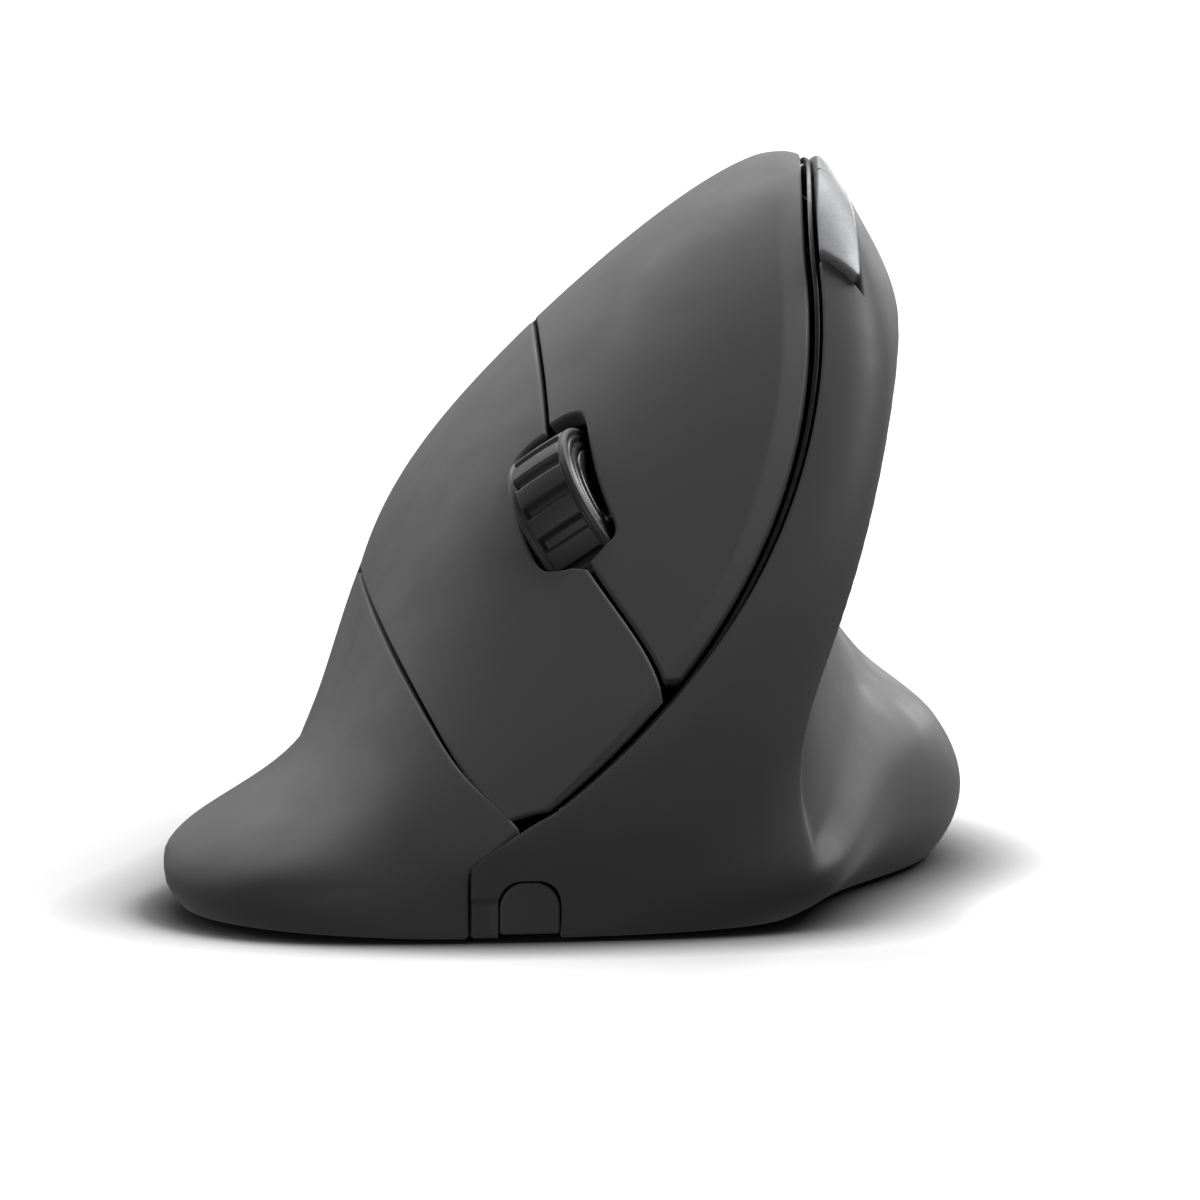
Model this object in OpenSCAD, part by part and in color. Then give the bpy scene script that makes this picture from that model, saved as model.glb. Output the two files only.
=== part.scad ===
// Vertical ergonomic mouse: moulded casings round a chassis, two finger buttons, a scroll wheel,
// two thumb buttons, and a battery in the base. Nose towards -Y, thumb side towards +X.

/* [Body] */
// Length of the body from nose to rear
body_l = 120; // [114:1:130]
// Width of the body from fin to thumb ledge
body_w = 84; // [80:1:92]
// Height of the body above its lower edge
body_h = 72; // [69:1:80]
// How far the ridge leans towards the nose
ridge_lead = 12; // [8:1:15]
// Wall of the casings and buttons
wall = 1.8; // [1.4:0.1:2.2]
// Depth of the thumb scoop
scoop_d = 2; // [1:0.25:2.5]
// Gap along the seams of the buttons
seam_gap = 0.5; // [0.4:0.05:0.7]
// Gap along the seam between the two casings
casing_gap = 0.3; // [0.25:0.05:0.4]

/* [Band and bevel] */
// Width of the groove that holds the black band
band_w = 1.6; // [1.4:0.1:2]
// Width of the black band itself
trim_w = 0.8; // [0.5:0.1:0.9]
// How deep the band lies below the surface
trim_sink = 0.4; // [0.2:0.1:0.8]
// Depth of the bevel of the buttons at the band
bevel_d = 0.8; // [0.4:0.1:1]

/* [Wheel] */
// Outer radius of the scroll wheel
wheel_r = 9.5; // [9:0.25:10]
// Width of the scroll wheel
wheel_w = 7; // [6:0.5:7.5]
// How far the wheel stands out of the buttons
wheel_out = 3.2; // [3:0.1:3.6]
// Lean of the wheel towards the thumb side
wheel_lean = 10; // [5:1:12]
// Number of pads round the tyre
wheel_pads = 16; // [12:2:20]
// Thickness of the tyre
tyre_t = 2.6; // [2:0.2:3]
// Radius of the wheel's axle
axle_r = 1; // [0.8:0.1:1.2]
// Room between the axle and its bearings
axle_clear = 0.04; // [0.02:0.01:0.08]
// Gap between the wheel and the edges of its slot
slot_gap = 1.1; // [1:0.1:1.3]
// Length of the wheel's slot
slot_l = 24.5; // [24:0.5:26]
// Travel of the wheel when it is clicked
click_travel = 0.5; // [0.3:0.1:0.6]

/* [Thumb buttons] */
// How far the thumb buttons stand proud
thumb_out = 1; // [0.5:0.1:1.5]
// Gap between the thumb buttons and the casing below them
thumb_gap = 1.1; // [1:0.1:1.3]
// Gap between a switch and the button over it
press_gap = 0.7; // [0.6:0.05:0.9]

/* [Base] */
// Thickness of the glide feet
foot_t = 0.7; // [0.5:0.1:1]
// Thickness of the base plate
plate_t = 2; // [1.6:0.2:2.4]
// Gap between the base plate and the casings
plate_gap = 0.3; // [0.2:0.05:0.5]
// Diameter of the battery
cell_d = 14.5; // [14:0.1:14.7]
// Length of the battery
cell_l = 50.5; // [49:0.5:51]
// Room round the battery in its bay
cell_gap = 0.4; // [0.3:0.1:0.6]
// Thickness of the battery cover
cover_t = 1.6; // [1.2:0.1:2]
// Gap round the battery cover
cover_gap = 0.3; // [0.25:0.05:0.5]
// Radius of the screws
screw_r = 1; // [0.8:0.1:1.2]
// Thickness of the circuit boards
board_t = 1.6; // [1.2:0.1:1.8]
// Travel of the power switch
power_travel = 2; // [1:0.5:2.5]

/* [Hidden] */
$fn = 48;

// Size for which the sections below are drawn
drawn = [84, 120, 72];
// Stations of the sections along the body, from nose to rear
station_y = [-60, -51, -31, -6, 24, 50, 60];
// Section points as [x, z]: fin rim, groove, belly, face, shoulder,
// ridge, brow, overhang, throat, ledge rim
section = [
    [[-31, 3.5], [-24, 6], [-20, 7.5], [-16, 8.5], [-11, 9.5],
        [-6, 10.5], [0, 10], [8, 9], [15, 6], [20, 3]],
    [[-43.5, 4], [-26, 10.5], [-21, 15], [-11.5, 21.5], [1, 26],
        [16.5, 28.5], [20, 25.5], [22, 21.5], [19, 11.5], [27, 3.5]],
    [[-47.5, 7.5], [-26.5, 12.5], [-22, 24.5], [-14, 40], [9.5, 53],
        [26, 54], [29, 54], [29.5, 48], [21, 24], [32.5, 6]],
    [[-39, 3.5], [-23, 10.5], [-22, 31], [-14, 46], [10, 69],
        [24, 74.5], [28, 67], [38, 55.5], [17, 25.5], [50, 11]],
    [[-28.5, 3.5], [-21.5, 11.5], [-19, 29], [-10, 44], [13, 66],
        [26, 75.5], [30.5, 68], [31, 49], [21, 25], [47, 10]],
    [[-25, 3.5], [-23, 12.5], [-18.5, 24], [-10.5, 34.5], [5.5, 47.5],
        [20, 52], [24.5, 48], [30, 37], [30, 21], [37, 8]],
    [[-14, 3], [-14, 8], [-13, 12], [-11, 16], [-4, 20],
        [5, 22], [11, 20], [16, 16], [18, 10], [19, 3]],
];
// Upright lines on which the surface closes at the nose and at the rear, as [x, height]
nose_line = [-14, 7];
rear_line = [3, 16];
// How far the lower edge lies inside the fin rim and the ledge rim
tuck = [6, 9];
// Share of the ridge's lead that each section point and each station takes
lead_row = [0, 0, 0, 0, 0, 0.5, 1, 1, 0.9, 0.5, 0, 0];
lead_station = [0, 0, 0.35, 0.8, 1, 0.9, 0.4, 0, 0];

// Seams, as shares u of the body's length and v of its girth, fin edge 0 to ledge edge 1
band_v = 0.545;
// Past the top the seams along the ridge lean to the thumb side
lean_v = 0.04;
lean_u = [0.4, 0.62];
lean_back = [0.68, 0.98];
lean_half = 0.16;
split_v = 0.38;
split_turn_u = 0.36;
split_u = 0.125;
low_v = 0.19;
low_rise = 0.0166;
low_start = 0.015;
rear_u = 0.6;
rear_slant = 0.25;
wheel_u = 0.292;
thumb_u = [0.395, 0.512, 0.626];
thumb_v = 0.615;
tip_u = 0.034;
tip_ramp = 0.017;
slot_power = 8;
// Thumb scoop: its front lip, its upper and lower edges and where it fades out
lip_u = 0.105;
lip_rise = 0.07;
lip_turn = 0.08;
lip_power = 10;
lip_v = 0.93;
lip_span = 0.18;
lip_width = 0.035;
scoop_v = [0.66, 0.72, 0.91, 0.945];
scoop_end_u = [0.45, 0.8];
bevel_v = 0.028;

// Surface of the body
stretch = [body_w / drawn.x, body_l / drawn.y, body_h / drawn.z];
function top_of(s) = max([for (p = s) p.y]);
function closed(s, line) = [
    [line.x, 0],
    each [for (p = s) [line.x, p.y * line.y / top_of(s)]],
    [line.x, 0]
];
function opened(s) = [[s[0].x + tuck[0], 0], each s, [s[len(s) - 1].x - tuck[1], 0]];
last = len(section) - 1;
rows = [
    closed(section[0], nose_line),
    each [for (s = section) opened(s)],
    closed(section[last], rear_line)
];
row_y = [station_y[0], each station_y, station_y[last]];
net = [
    for (i = [0:len(rows) - 1])
    [
        for (k = [0:len(rows[i]) - 1])
        [
            rows[i][k].x * stretch.x,
            row_y[i] * stretch.y - ridge_lead * lead_row[k] * lead_station[i],
            rows[i][k].y * stretch.z
        ]
    ]
];
count_u = len(net);
count_v = len(net[0]);

function knot(i, n) = max(0, min(n - 3, i - 3));
// Weights of the four net points round t, a cubic spline that starts and ends on the net
function weights(t, s, n) = let (
    l1 = t - knot(s, n), l2 = t - knot(s - 1, n), l3 = t - knot(s - 2, n),
    r1 = knot(s + 1, n) - t, r2 = knot(s + 2, n) - t, r3 = knot(s + 3, n) - t,
    a0 = r1 / (r1 + l1), a1 = l1 / (r1 + l1),
    b0 = a0 / (r1 + l2), b1 = a1 / (r2 + l1),
    c0 = r1 * b0, c1 = l2 * b0 + r2 * b1, c2 = l1 * b1,
    d0 = c0 / (r1 + l3), d1 = c1 / (r2 + l2), d2 = c2 / (r3 + l1)
) [r1 * d0, l3 * d0 + r2 * d1, l2 * d1 + r3 * d2, l1 * d2];
// Point of the smooth surface at u along and v round the body
function leant(u, v) = v + lean_v * ease((u - lean_u[0]) / (lean_u[1] - lean_u[0]))
    * (1 - ease((u - lean_back[0]) / (lean_back[1] - lean_back[0])))
    * (1 - ease(abs(v - band_v) / lean_half));
function skin(u, v) = let (
    tu = u * (count_u - 3), tv = leant(u, v) * (count_v - 3),
    iu = min(floor(tu), count_u - 4), iv = min(floor(tv), count_v - 4),
    wv = weights(tv, iv + 3, count_v)
) weights(tu, iu + 3, count_u) * [
    for (i = [0:3]) wv * [for (j = [0:3]) net[iu + i][iv + j]]
];
step = 0.001;
function inwards(x) = x > 0.5 ? -step : step;
function along_u(u, v) = (skin(u + inwards(u), v) - skin(u, v)) / inwards(u);
function along_v(u, v) = (skin(u, v + inwards(v)) - skin(u, v)) / inwards(v);
function unit(p) = p / norm(p);
// Direction out of the surface, square to the nose and rear lines where the surface closes on them
pole_u = 0.02;
function crossed(u, v) = unit(cross(along_v(u, v), along_u(u, v)));
function outward(u, v) = let (
    k = min(1, min(u, 1 - u) / pole_u),
    end = u < 0.5 ? [0, -1, 0] : [0, 1, 0]
) unit(k * crossed(max(pole_u, min(u, 1 - pole_u)), v) + (1 - k) * end);
function ease(x) = let (c = max(0, min(1, x))) c * c * (3 - 2 * c);

// Seam lines
function split_at(u) = split_v
    + (band_v - split_v) * pow(max(0, split_turn_u - u) / (split_turn_u - split_u), 3);
function low_at(u) = low_v + low_rise / (u + low_start);
function rear_at(v) = rear_u + rear_slant * (v - split_v);
function lip_at(v) = let (x = max(0, lip_v - v) / lip_span)
    lip_u + lip_rise * x + lip_turn * pow(x, lip_power);
// Half widths of the band's groove and of the split with its wheel slot, in millimetres
band_end_u = rear_at(band_v);
function groove_half(u) = casing_gap / 2
    + (band_w - casing_gap) / 2 * ease((u - tip_u) / tip_ramp) * (u < band_end_u ? 1 : 0);
slot_shift = 0.5;
slot_u = slot_l / 2 / norm(along_u(wheel_u, split_v));
slot_mid = wheel_u + slot_shift / norm(along_u(wheel_u, split_v));
slot_w = wheel_w + 2 * slot_gap;
function split_half(u) = seam_gap / 2
    + (slot_w - seam_gap) / 2 * sqrt(max(0, 1 - pow(abs(u - slot_mid) / slot_u, slot_power)));
function girth_share(mm, u, v) = mm / norm(along_v(u, v));
function length_share(mm, u, v) = mm / norm(along_u(u, v));

// Height of the moulded relief over the smooth surface: the thumb scoop and the bevel at the band
function scoop(u, v) = -scoop_d * ease((u - lip_at(v)) / lip_width)
    * ease((v - scoop_v[0]) / (scoop_v[1] - scoop_v[0]))
    * (1 - ease((v - scoop_v[2]) / (scoop_v[3] - scoop_v[2])))
    * (1 - ease((u - scoop_end_u[0]) / (scoop_end_u[1] - scoop_end_u[0])));
function bevel(u, v) = v > band_v || u > rear_at(v) ? 0
    : -bevel_d * max(0, 1 - (band_v - v) / bevel_v);
function place(u, v, h) = skin(u, v) + (scoop(u, v) + bevel(u, v) + h) * outward(u, v);

// The fin and ledge rims give the body's middle
rim_x = [for (i = [10:2:30]) for (v = [0.04, 0.06, 0.08, 0.1, 0.92, 0.94, 0.96]) skin(i / 40, v).x];
mid_x = (max(rim_x) + min(rim_x)) / 2;
module body_frame() {
    translate([-mid_x, 0, foot_t]) children();
}

// Solid between the outer and inner side of a grid of surface places, walled round its border
module panel(grid, thick, proud = 0) {
    m = len(grid);
    n = len(grid[0]);
    outer = [for (row = grid) for (g = row) place(g[0], g[1], proud)];
    inner = [for (row = grid) for (g = row) place(g[0], g[1], proud - thick)];
    back = m * n;
    border = [
        each [for (j = [0:n - 1]) j],
        each [for (i = [1:m - 1]) i * n + n - 1],
        each [for (j = [n - 2:-1:0]) (m - 1) * n + j],
        each [for (i = [m - 2:-1:1]) i * n]
    ];
    quads = [
        for (i = [0:m - 2]) for (j = [0:n - 2]) let (a = i * n + j, b = a + n) [a, a + 1, b + 1, b]
    ];
    rim = [for (k = [0:len(border) - 1]) [border[k], border[(k + 1) % len(border)]]];
    faces = [
        each [for (q = quads) each [[q[2], q[1], q[0]], [q[3], q[2], q[0]]]],
        each [
            for (q = quads) let (r = [for (k = q) k + back]) each [[r[0], r[1], r[2]], [r[0], r[2], r[3]]]
        ],
        each [for (e = rim) each [[e[0] + back, e[0], e[1]], [e[1] + back, e[0] + back, e[1]]]]
    ];
    polyhedron(concat(outer, inner), faces);
}
function span(a, b, n) = [for (i = [0:n]) a + (b - a) * i / n];
// Values from a to b that crowd towards a
function crowd(a, b, n) = [for (i = [0:n]) a + (b - a) * (1 - cos(90 * i / n))];
function tail(list) = [for (i = [1:len(list) - 1]) list[i]];
function flip(list) = [for (i = [len(list) - 1:-1:0]) list[i]];
// Grid between two seams lo and hi, given at each u of the list, with shares t across
function between(us, ts, lo, hi) = [
    for (u = us) let (a = lo(u), b = hi(u)) [for (t = ts) [u, a + (b - a) * t]]
];

// Places that hold the inner parts
plate_top = plate_t;
wheel_p = place(wheel_u, split_at(wheel_u), 0);
surface_n = outward(wheel_u, split_at(wheel_u));
wheel_t = unit(
    skin(wheel_u + step, split_at(wheel_u + step)) - skin(wheel_u - step, split_at(wheel_u - step))
);
surface_a = cross(wheel_t, surface_n);
wheel_a = surface_a * cos(wheel_lean) + surface_n * sin(wheel_lean);
wheel_n = surface_n * cos(wheel_lean) - surface_a * sin(wheel_lean);
wheel_c = wheel_p - wheel_n * (wheel_r - wheel_out);
// Frame whose axes are the columns x, y and z and whose origin is o
module frame(x, y, z, o) {
    multmatrix([
        [x.x, y.x, z.x, o.x],
        [x.y, y.y, z.y, o.y],
        [x.z, y.z, z.z, o.z]
    ]) children();
}
// Frame of the wheel: x along the axle, y along the split towards the rear, z out of the face
module wheel_frame() {
    body_frame() frame(wheel_a, wheel_t, wheel_n, wheel_c) children();
}
// Coordinates of a body point in the wheel's frame
function in_wheel(p) = [(p - wheel_c) * wheel_a, (p - wheel_c) * wheel_t, (p - wheel_c) * wheel_n];
// Body point of a place in the wheel's frame
function from_wheel(q) = wheel_c + wheel_a * q.x + wheel_t * q.y + wheel_n * q.z;

// Wheel mechanism
side_gap = 0.4;
guide_gap = 0.3;
fit = 0.01;
arm_t = 1.5;
arm_l = 7;
bar_t = 1.4;
bar_gap = 0.8;
encoder_size = [3.6, 9, 9];
arm_x = wheel_w / 2 + side_gap;
guide_out = arm_x + arm_t + guide_gap;
guide_in = -(arm_x + arm_t + encoder_size.x + guide_gap);
bar_z = -(wheel_r + bar_gap + bar_t);
click_size = [6, 6, 3.3];
plunger_w = 1.2;
plunger_l = 2.8;
plunger_h = 0.7;
tray_z = bar_z - click_travel - guide_gap - plunger_h - click_size.z;
tray_t = 2;
tray_l = 16;
cheek_t = 1.5;

// Finger switches sit under chosen places of the two buttons
primary_uv = [0.285, 0.46];
secondary_uv = [0.285, 0.3];
switch_size = [5.8, 12.8, 6.5];
post_r = 1.6;
post_min = 1.4;
post_y = 3.5;
primary_q = in_wheel(place(primary_uv[0], primary_uv[1], -wall / 2));
secondary_q = in_wheel(place(secondary_uv[0], secondary_uv[1], -wall / 2));
post_end = min(primary_q.z, secondary_q.z) - wall / 2 - post_min;
board_z = post_end - press_gap - plunger_h - switch_size.z;
board_margin = 4.5;
board_l = [8, 14];
board_slot_l = 10.5;

// Thumb switches lie under the middles of the two thumb buttons
thumb_mid_v = (band_v + thumb_v) / 2;
thumb_shift = 0.3;
thumb_mid_u = [(thumb_u[0] + thumb_u[1]) / 2, (thumb_u[1] + thumb_u[2]) / 2];
thumb_o = place(thumb_u[1], thumb_mid_v, 0);
thumb_n = outward(thumb_u[1], thumb_mid_v);
thumb_side = unit(cross(along_u(thumb_u[1], thumb_mid_v), thumb_n));
thumb_t = cross(thumb_n, thumb_side);
function in_thumb(p) = [(p - thumb_o) * thumb_side, (p - thumb_o) * thumb_t, (p - thumb_o) * thumb_n];
thumb_q = [for (u = thumb_mid_u) in_thumb(place(u, thumb_mid_v, -wall / 2)) + [thumb_shift, 0, 0]];
stem_r = 0.8;
key_t = wall / 2;
tact_size = [2.6, 3.4, 2.5];
stem_min = 1.4;
stem_end = min(thumb_q[0].z, thumb_q[1].z) - wall / 2 - stem_min;
thumb_board_z = stem_end - press_gap - plunger_h - tact_size.z;
thumb_board_t = 1.2;
thumb_board_w = 4.8;
thumb_board_x = -1.2;
thumb_board_end = 4;
arm_r = 2;

// Base, boards and battery, in the body's own frame
bay_x = 4;
bay_y = -5;
bay_wall = 1.4;
spring_l = 4.5;
spring_r = 3.5;
spring_wire_r = 0.4;
contact_t = 0.5;
cell_lift = 0.3;
bay_l = cell_l + spring_l + 2 * contact_t + cell_gap;
bay_w = cell_d + 2 * cell_gap;
cell_z = cover_t + cell_lift + cell_d / 2;
bay_h = cell_z + cell_d / 2 + cell_gap;
main_x = [-22, 0.5];
main_y = [-48, -8];
standoff_h = 4;
standoff_r = 2;
standoff_in = 3;
main_z = plate_top + standoff_h;
sensor_at = [-8, -28];
sensor_size = [10, 11, 2.4];
lens_size = [13, 16, 1.2];
lens_r = 3;
lens_gap = 0.2;
chip_size = [7, 7, 1];
chip_at = [-11, -15];
power_at = [-12, 10];
power_size = [4, 9, 3.5];
knob_size = [2.4, 3, 1.4];
knob_gap = 0.3;
head_r = 2;
head_h = 1.2;
head_sink = 0.15;
head_gap = 0.2;
thread_gap = 0.05;
screw_l = 7;
boss_r = 2.4;
fin_boss_uv = [0.42, 0.12];
ledge_boss_uv = [0.56, 0.92];
leg_w = 6;
leg_foot_t = 2.5;
leg_screw_y = [-25.5, -17.5];
feet = [[-9, -46, 26, 0], [-16, 34, 24, 90], [25, 22, 20, 90]];
foot_w = 7;
blank_x = -8.4;
blank_w = 5.6;
blank_h = 5.7;
arch_r = 2.2;
blank_gap = 0.15;
blank_sink = 0.2;
blank_t = wall - blank_sink;
outline_n = 36;

// Shell below the buttons and behind them, with the fin
right_top = function (u) let (
    front = min(low_at(u), band_v),
    gap = u < tip_u ? casing_gap : seam_gap,
    behind = split_v + (u - length_share(seam_gap / 2, u, split_v) - rear_u) / rear_slant,
    v = min(max(front, behind), band_v)
) v - girth_share((v < band_v ? gap : casing_gap) / 2, u, v);
// Thumb side shell, which starts at the band or below the thumb buttons
window_u = 0.003;
pole_relief = 0.16;
left_low = function (u) u > thumb_u[0] && u < thumb_u[2]
    ? thumb_v
    : band_v + girth_share(groove_half(u), u, band_v) + pole_relief * max(0, 1 - u / pole_u);
// Keeps a grid just off the lines on which the surface closes
function off_ends(grid) = [
    for (row = grid) [
        for (g = row) let (
            first = length_share(casing_gap / 2, 0, g[1]),
            final = 1 - length_share(casing_gap / 2, 1, g[1])
        ) [min(max(g[0], first), final), g[1]]
    ]
];
left_us = [
    each crowd(0, thumb_u[0], 18),
    each span(thumb_u[0] + window_u, thumb_u[2] - window_u, 7),
    each flip(crowd(1, thumb_u[2], 11))
];
ramp_u = [rear_at(low_at(rear_u)) + step, band_end_u + step];
right_us = [
    each crowd(0, ramp_u[0], 18),
    each tail(span(ramp_u[0], ramp_u[1], 10)),
    each tail(flip(crowd(1, ramp_u[1], 11)))
];
left_vs = [0.64, 0.67, 0.7, 0.73, 0.76, 0.79, 0.82, 0.85, 0.88, 0.905, 0.925, 0.945, 0.965, 0.98, 1];
right_vs = [0, 0.03, 0.06, 0.09, 0.12, 0.15, 0.18];
// Rows that follow an edge at e and then keep to fixed shares of the girth
function edge_rows(e, v, n) = [for (i = [0:n - 1]) e + (v - e) * i / n];
left_grid = [
    for (u = left_us) [for (v = concat(edge_rows(left_low(u), left_vs[0], 3), left_vs)) [u, v]]
];
right_end = right_vs[len(right_vs) - 1];
right_grid = [
    for (u = right_us) [for (v = concat(right_vs, flip(edge_rows(right_top(u), right_end, 11)))) [u, v]]
];
button_us = [-1, -0.98, -0.94, -0.88, -0.78, -0.5, 0, 0.5, 0.78, 0.88, 0.94, 0.98, 1];
function slot_us(start, n) = [
    each crowd(start, slot_mid - slot_u, n),
    each tail([for (k = button_us) slot_mid + slot_u * k])
];
// Grid of a finger button: straight columns to the wheel slot, then drawn out to the rear seam
function button_grid(start, n, ts, lo, hi, v0, v1) = let (
    front = slot_us(start, n),
    back = front[len(front) - 1]
) [
    each between(front, ts, lo, hi),
    each [
        for (k = [1:9]) [
            for (t = ts) let (
                v = v0 + (v1 - v0) * t,
                end = rear_at(v) - length_share(seam_gap / 2 + rear_room, rear_at(v), v),
                u = back + (end - back) * k / 9
            ) [u, lo(u) + (hi(u) - lo(u)) * t]
        ]
    ]
];
band_edge = function (u) band_v - girth_share(groove_half(u), u, band_v);
above_split = function (u) split_at(u) + girth_share(split_half(u), u, split_at(u));
tip_room = 0.5;
rear_room = 0.25;
tip_fade = [0.08, 0.13];
tip_edge = function (u) band_edge(u)
    - girth_share(tip_room * (1 - ease((u - tip_fade[0]) / (tip_fade[1] - tip_fade[0]))), u, band_v);
below_split = function (u) min(
    tip_edge(u), split_at(u) - girth_share(split_half(u), u, min(split_at(u), band_v))
);
above_low = function (u) low_at(u) + girth_share(seam_gap / 2, u, low_at(u));
primary_start = 0.137;
secondary_start = 0.045;

// Screw boss from the base plate up to the inside of a casing, and the bore in it
module boss(uv) {
    p = place(uv[0], uv[1], -wall);
    translate([p.x, p.y, plate_top + plate_gap]) cylinder(r = boss_r, h = p.z - plate_top - plate_gap);
}
module boss_bore(uv) {
    p = place(uv[0], uv[1], -wall);
    translate([p.x, p.y, 0]) cylinder(r = screw_r + thread_gap, h = p.z - wall);
}
module arch(w, h, depth) {
    rotate([90, 0, 0]) linear_extrude(depth, center = true) hull() {
        translate([-w / 2, 0]) square([w, h - arch_r]);
        for (side = [-1, 1]) translate([side * (w / 2 - arch_r), h - arch_r]) circle(arch_r);
    }
}
module left_shell() {
    color("#3c3d40") body_frame() difference() {
        union() {
            panel(off_ends(left_grid), wall);
            boss(ledge_boss_uv);
        }
        boss_bore(ledge_boss_uv);
        translate([blank_x, station_y[0] * stretch.y, 0])
            arch(blank_w + 2 * blank_gap, blank_h + blank_gap, 4 * wall);
    }
}
module right_shell() {
    color("#47484b") body_frame() difference() {
        union() {
            panel(off_ends(right_grid), wall);
            boss(fin_boss_uv);
        }
        boss_bore(fin_boss_uv);
    }
}
module cable_blank() {
    color("#4a4b4e") body_frame()
        translate([blank_x, station_y[0] * stretch.y + blank_sink + blank_t / 2, 0])
            arch(blank_w, blank_h, blank_t);
}
trim_t = 1.2;
module band_trim() {
    left_edge = function (u) band_v + girth_share(groove_half(u) - fit, u, band_v);
    trim_lo = function (u) left_edge(u) - girth_share(trim_w, u, band_v);
    us = [for (u = left_us) if (u > tip_u + tip_ramp && u < band_end_u) u];
    color("#0b0b0d") body_frame() panel(between(us, [0, 1], trim_lo, left_edge), trim_t, -trim_sink);
}

// Spring tongue by which a finger button hangs under the casing behind it, about the share v
tongue_v = 0.025;
tongue_u = 0.035;
tongue_root_u = [0.02, 0.01];
tongue_root_v = 0.02;
tongue_lap = 0.004;
tongue_t = 0.9;
tongue_gap = 0.7;
primary_tongue_v = 0.45;
secondary_tongue_v = 0.3;
module tongue(v) {
    vs = span(v - tongue_v, v + tongue_v, 2);
    root_vs = span(v - tongue_root_v, v + tongue_root_v, 2);
    strip = span(rear_at(v) - tongue_root_u[0] - tongue_lap, rear_at(v) + tongue_u, 5);
    root = span(rear_at(v) - tongue_root_u[0], rear_at(v) - tongue_root_u[1], 1);
    panel([for (u = strip) [for (k = vs) [u, k]]], tongue_t, -wall - tongue_gap);
    panel([for (u = root) [for (k = root_vs) [u, k]]], wall / 2 + tongue_gap + tongue_t / 2, -wall / 2);
}
module post(q) {
    translate([q.x, q.y, post_end]) cylinder(r = post_r, h = q.z - post_end);
}
module primary_button() {
    crease = 1 - bevel_v / (band_v - split_v);
    ts = [each span(0, crease, 6), 1];
    color("#47484b") {
        body_frame() {
            panel(button_grid(primary_start, 7, ts, above_split, band_edge, split_v, band_v), wall);
            tongue(primary_tongue_v);
        }
        wheel_frame() post(primary_q);
    }
}
module secondary_button() {
    ts = span(0, 1, 7);
    low_end = low_at(rear_u);
    color("#47484b") {
        body_frame() {
            panel(button_grid(secondary_start, 11, ts, above_low, below_split, low_end, split_v), wall);
            tongue(secondary_tongue_v);
        }
        wheel_frame() post(secondary_q);
    }
}
module thumb_button(k) {
    lo = function (u) band_v + girth_share(groove_half(u) + thumb_gap, u, band_v);
    hi = function (u) thumb_v - girth_share(thumb_gap, u, thumb_v);
    half = length_share(seam_gap / 2, thumb_u[1], thumb_mid_v);
    ends = [thumb_u[0] + window_u + half, thumb_u[1], thumb_u[2] - window_u - half];
    us = span(ends[k] + half, ends[k + 1] - half, 8);
    color("#b9bbc0") {
        body_frame() panel(between(us, span(0, 1, 4), lo, hi), key_t + thumb_out, thumb_out);
        thumb_frame() translate([thumb_q[k].x, thumb_q[k].y, stem_end])
            cylinder(r = stem_r, h = thumb_q[k].z + key_t / 2 - stem_end);
    }
}
module forward_button() {
    thumb_button(0);
}
module back_button() {
    thumb_button(1);
}
module thumb_frame() {
    body_frame() frame(thumb_side, thumb_t, thumb_n, thumb_o) children();
}

// Wheel on its cradle
module wheel_turned() {
    wheel_frame() rotate([0, 90, 0]) children();
}
tyre_bore = wheel_r - tyre_t;
pad_rim = 0.8;
pad_depth = 1.2;
pad_groove = 1.3;
hub_dish = 1;
hub_boss_r = 2.2;
module wheel_tyre() {
    color("#26272a") wheel_turned() difference() {
        cylinder(r = wheel_r, h = wheel_w, center = true);
        cylinder(r = tyre_bore, h = 2 * wheel_w, center = true);
        for (k = [1:wheel_pads]) rotate([0, 0, 360 / wheel_pads * k])
            translate([wheel_r - pad_depth, -pad_groove / 2, pad_rim - wheel_w / 2])
                cube([2 * pad_depth, pad_groove, wheel_w - 2 * pad_rim]);
    }
}
module wheel_hub() {
    color("#1a1b1d") wheel_turned() difference() {
        cylinder(r = tyre_bore - fit, h = wheel_w - fit, center = true);
        cylinder(r = axle_r + fit, h = 2 * wheel_w, center = true);
        for (side = [-1, 1]) translate([0, 0, side * wheel_w / 2]) difference() {
            cylinder(r = tyre_bore - hub_dish, h = 2 * hub_dish, center = true);
            cylinder(r = hub_boss_r, h = 3 * hub_dish, center = true);
        }
    }
}
module wheel_axle() {
    color("#c9cbcf") wheel_turned() translate([0, 0, -(arm_x + arm_t + encoder_size.x)])
        cylinder(r = axle_r, h = 2 * (arm_x + arm_t) + encoder_size.x - guide_gap);
}
module axle_bore(h) {
    rotate([0, 90, 0]) cylinder(r = axle_r + axle_clear, h = h, center = true);
}
module wheel_cradle() {
    top = axle_r + arm_t;
    color("#2d2e31") wheel_frame() difference() {
        union() {
            for (x = [-arm_x - arm_t, arm_x])
                translate([x, -arm_l / 2, bar_z]) cube([arm_t, arm_l, top - bar_z]);
            translate([-arm_x - arm_t, -arm_l / 2, bar_z]) cube([2 * (arm_x + arm_t), arm_l, bar_t]);
        }
        axle_bore(4 * (arm_x + arm_t));
    }
}
module encoder() {
    color("#3f7a3f") wheel_frame() difference() {
        translate([-arm_x - arm_t - encoder_size.x, -encoder_size.y / 2, -encoder_size.z / 2])
            cube(encoder_size);
        axle_bore(4 * (arm_x + arm_t + encoder_size.x));
    }
}

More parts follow.
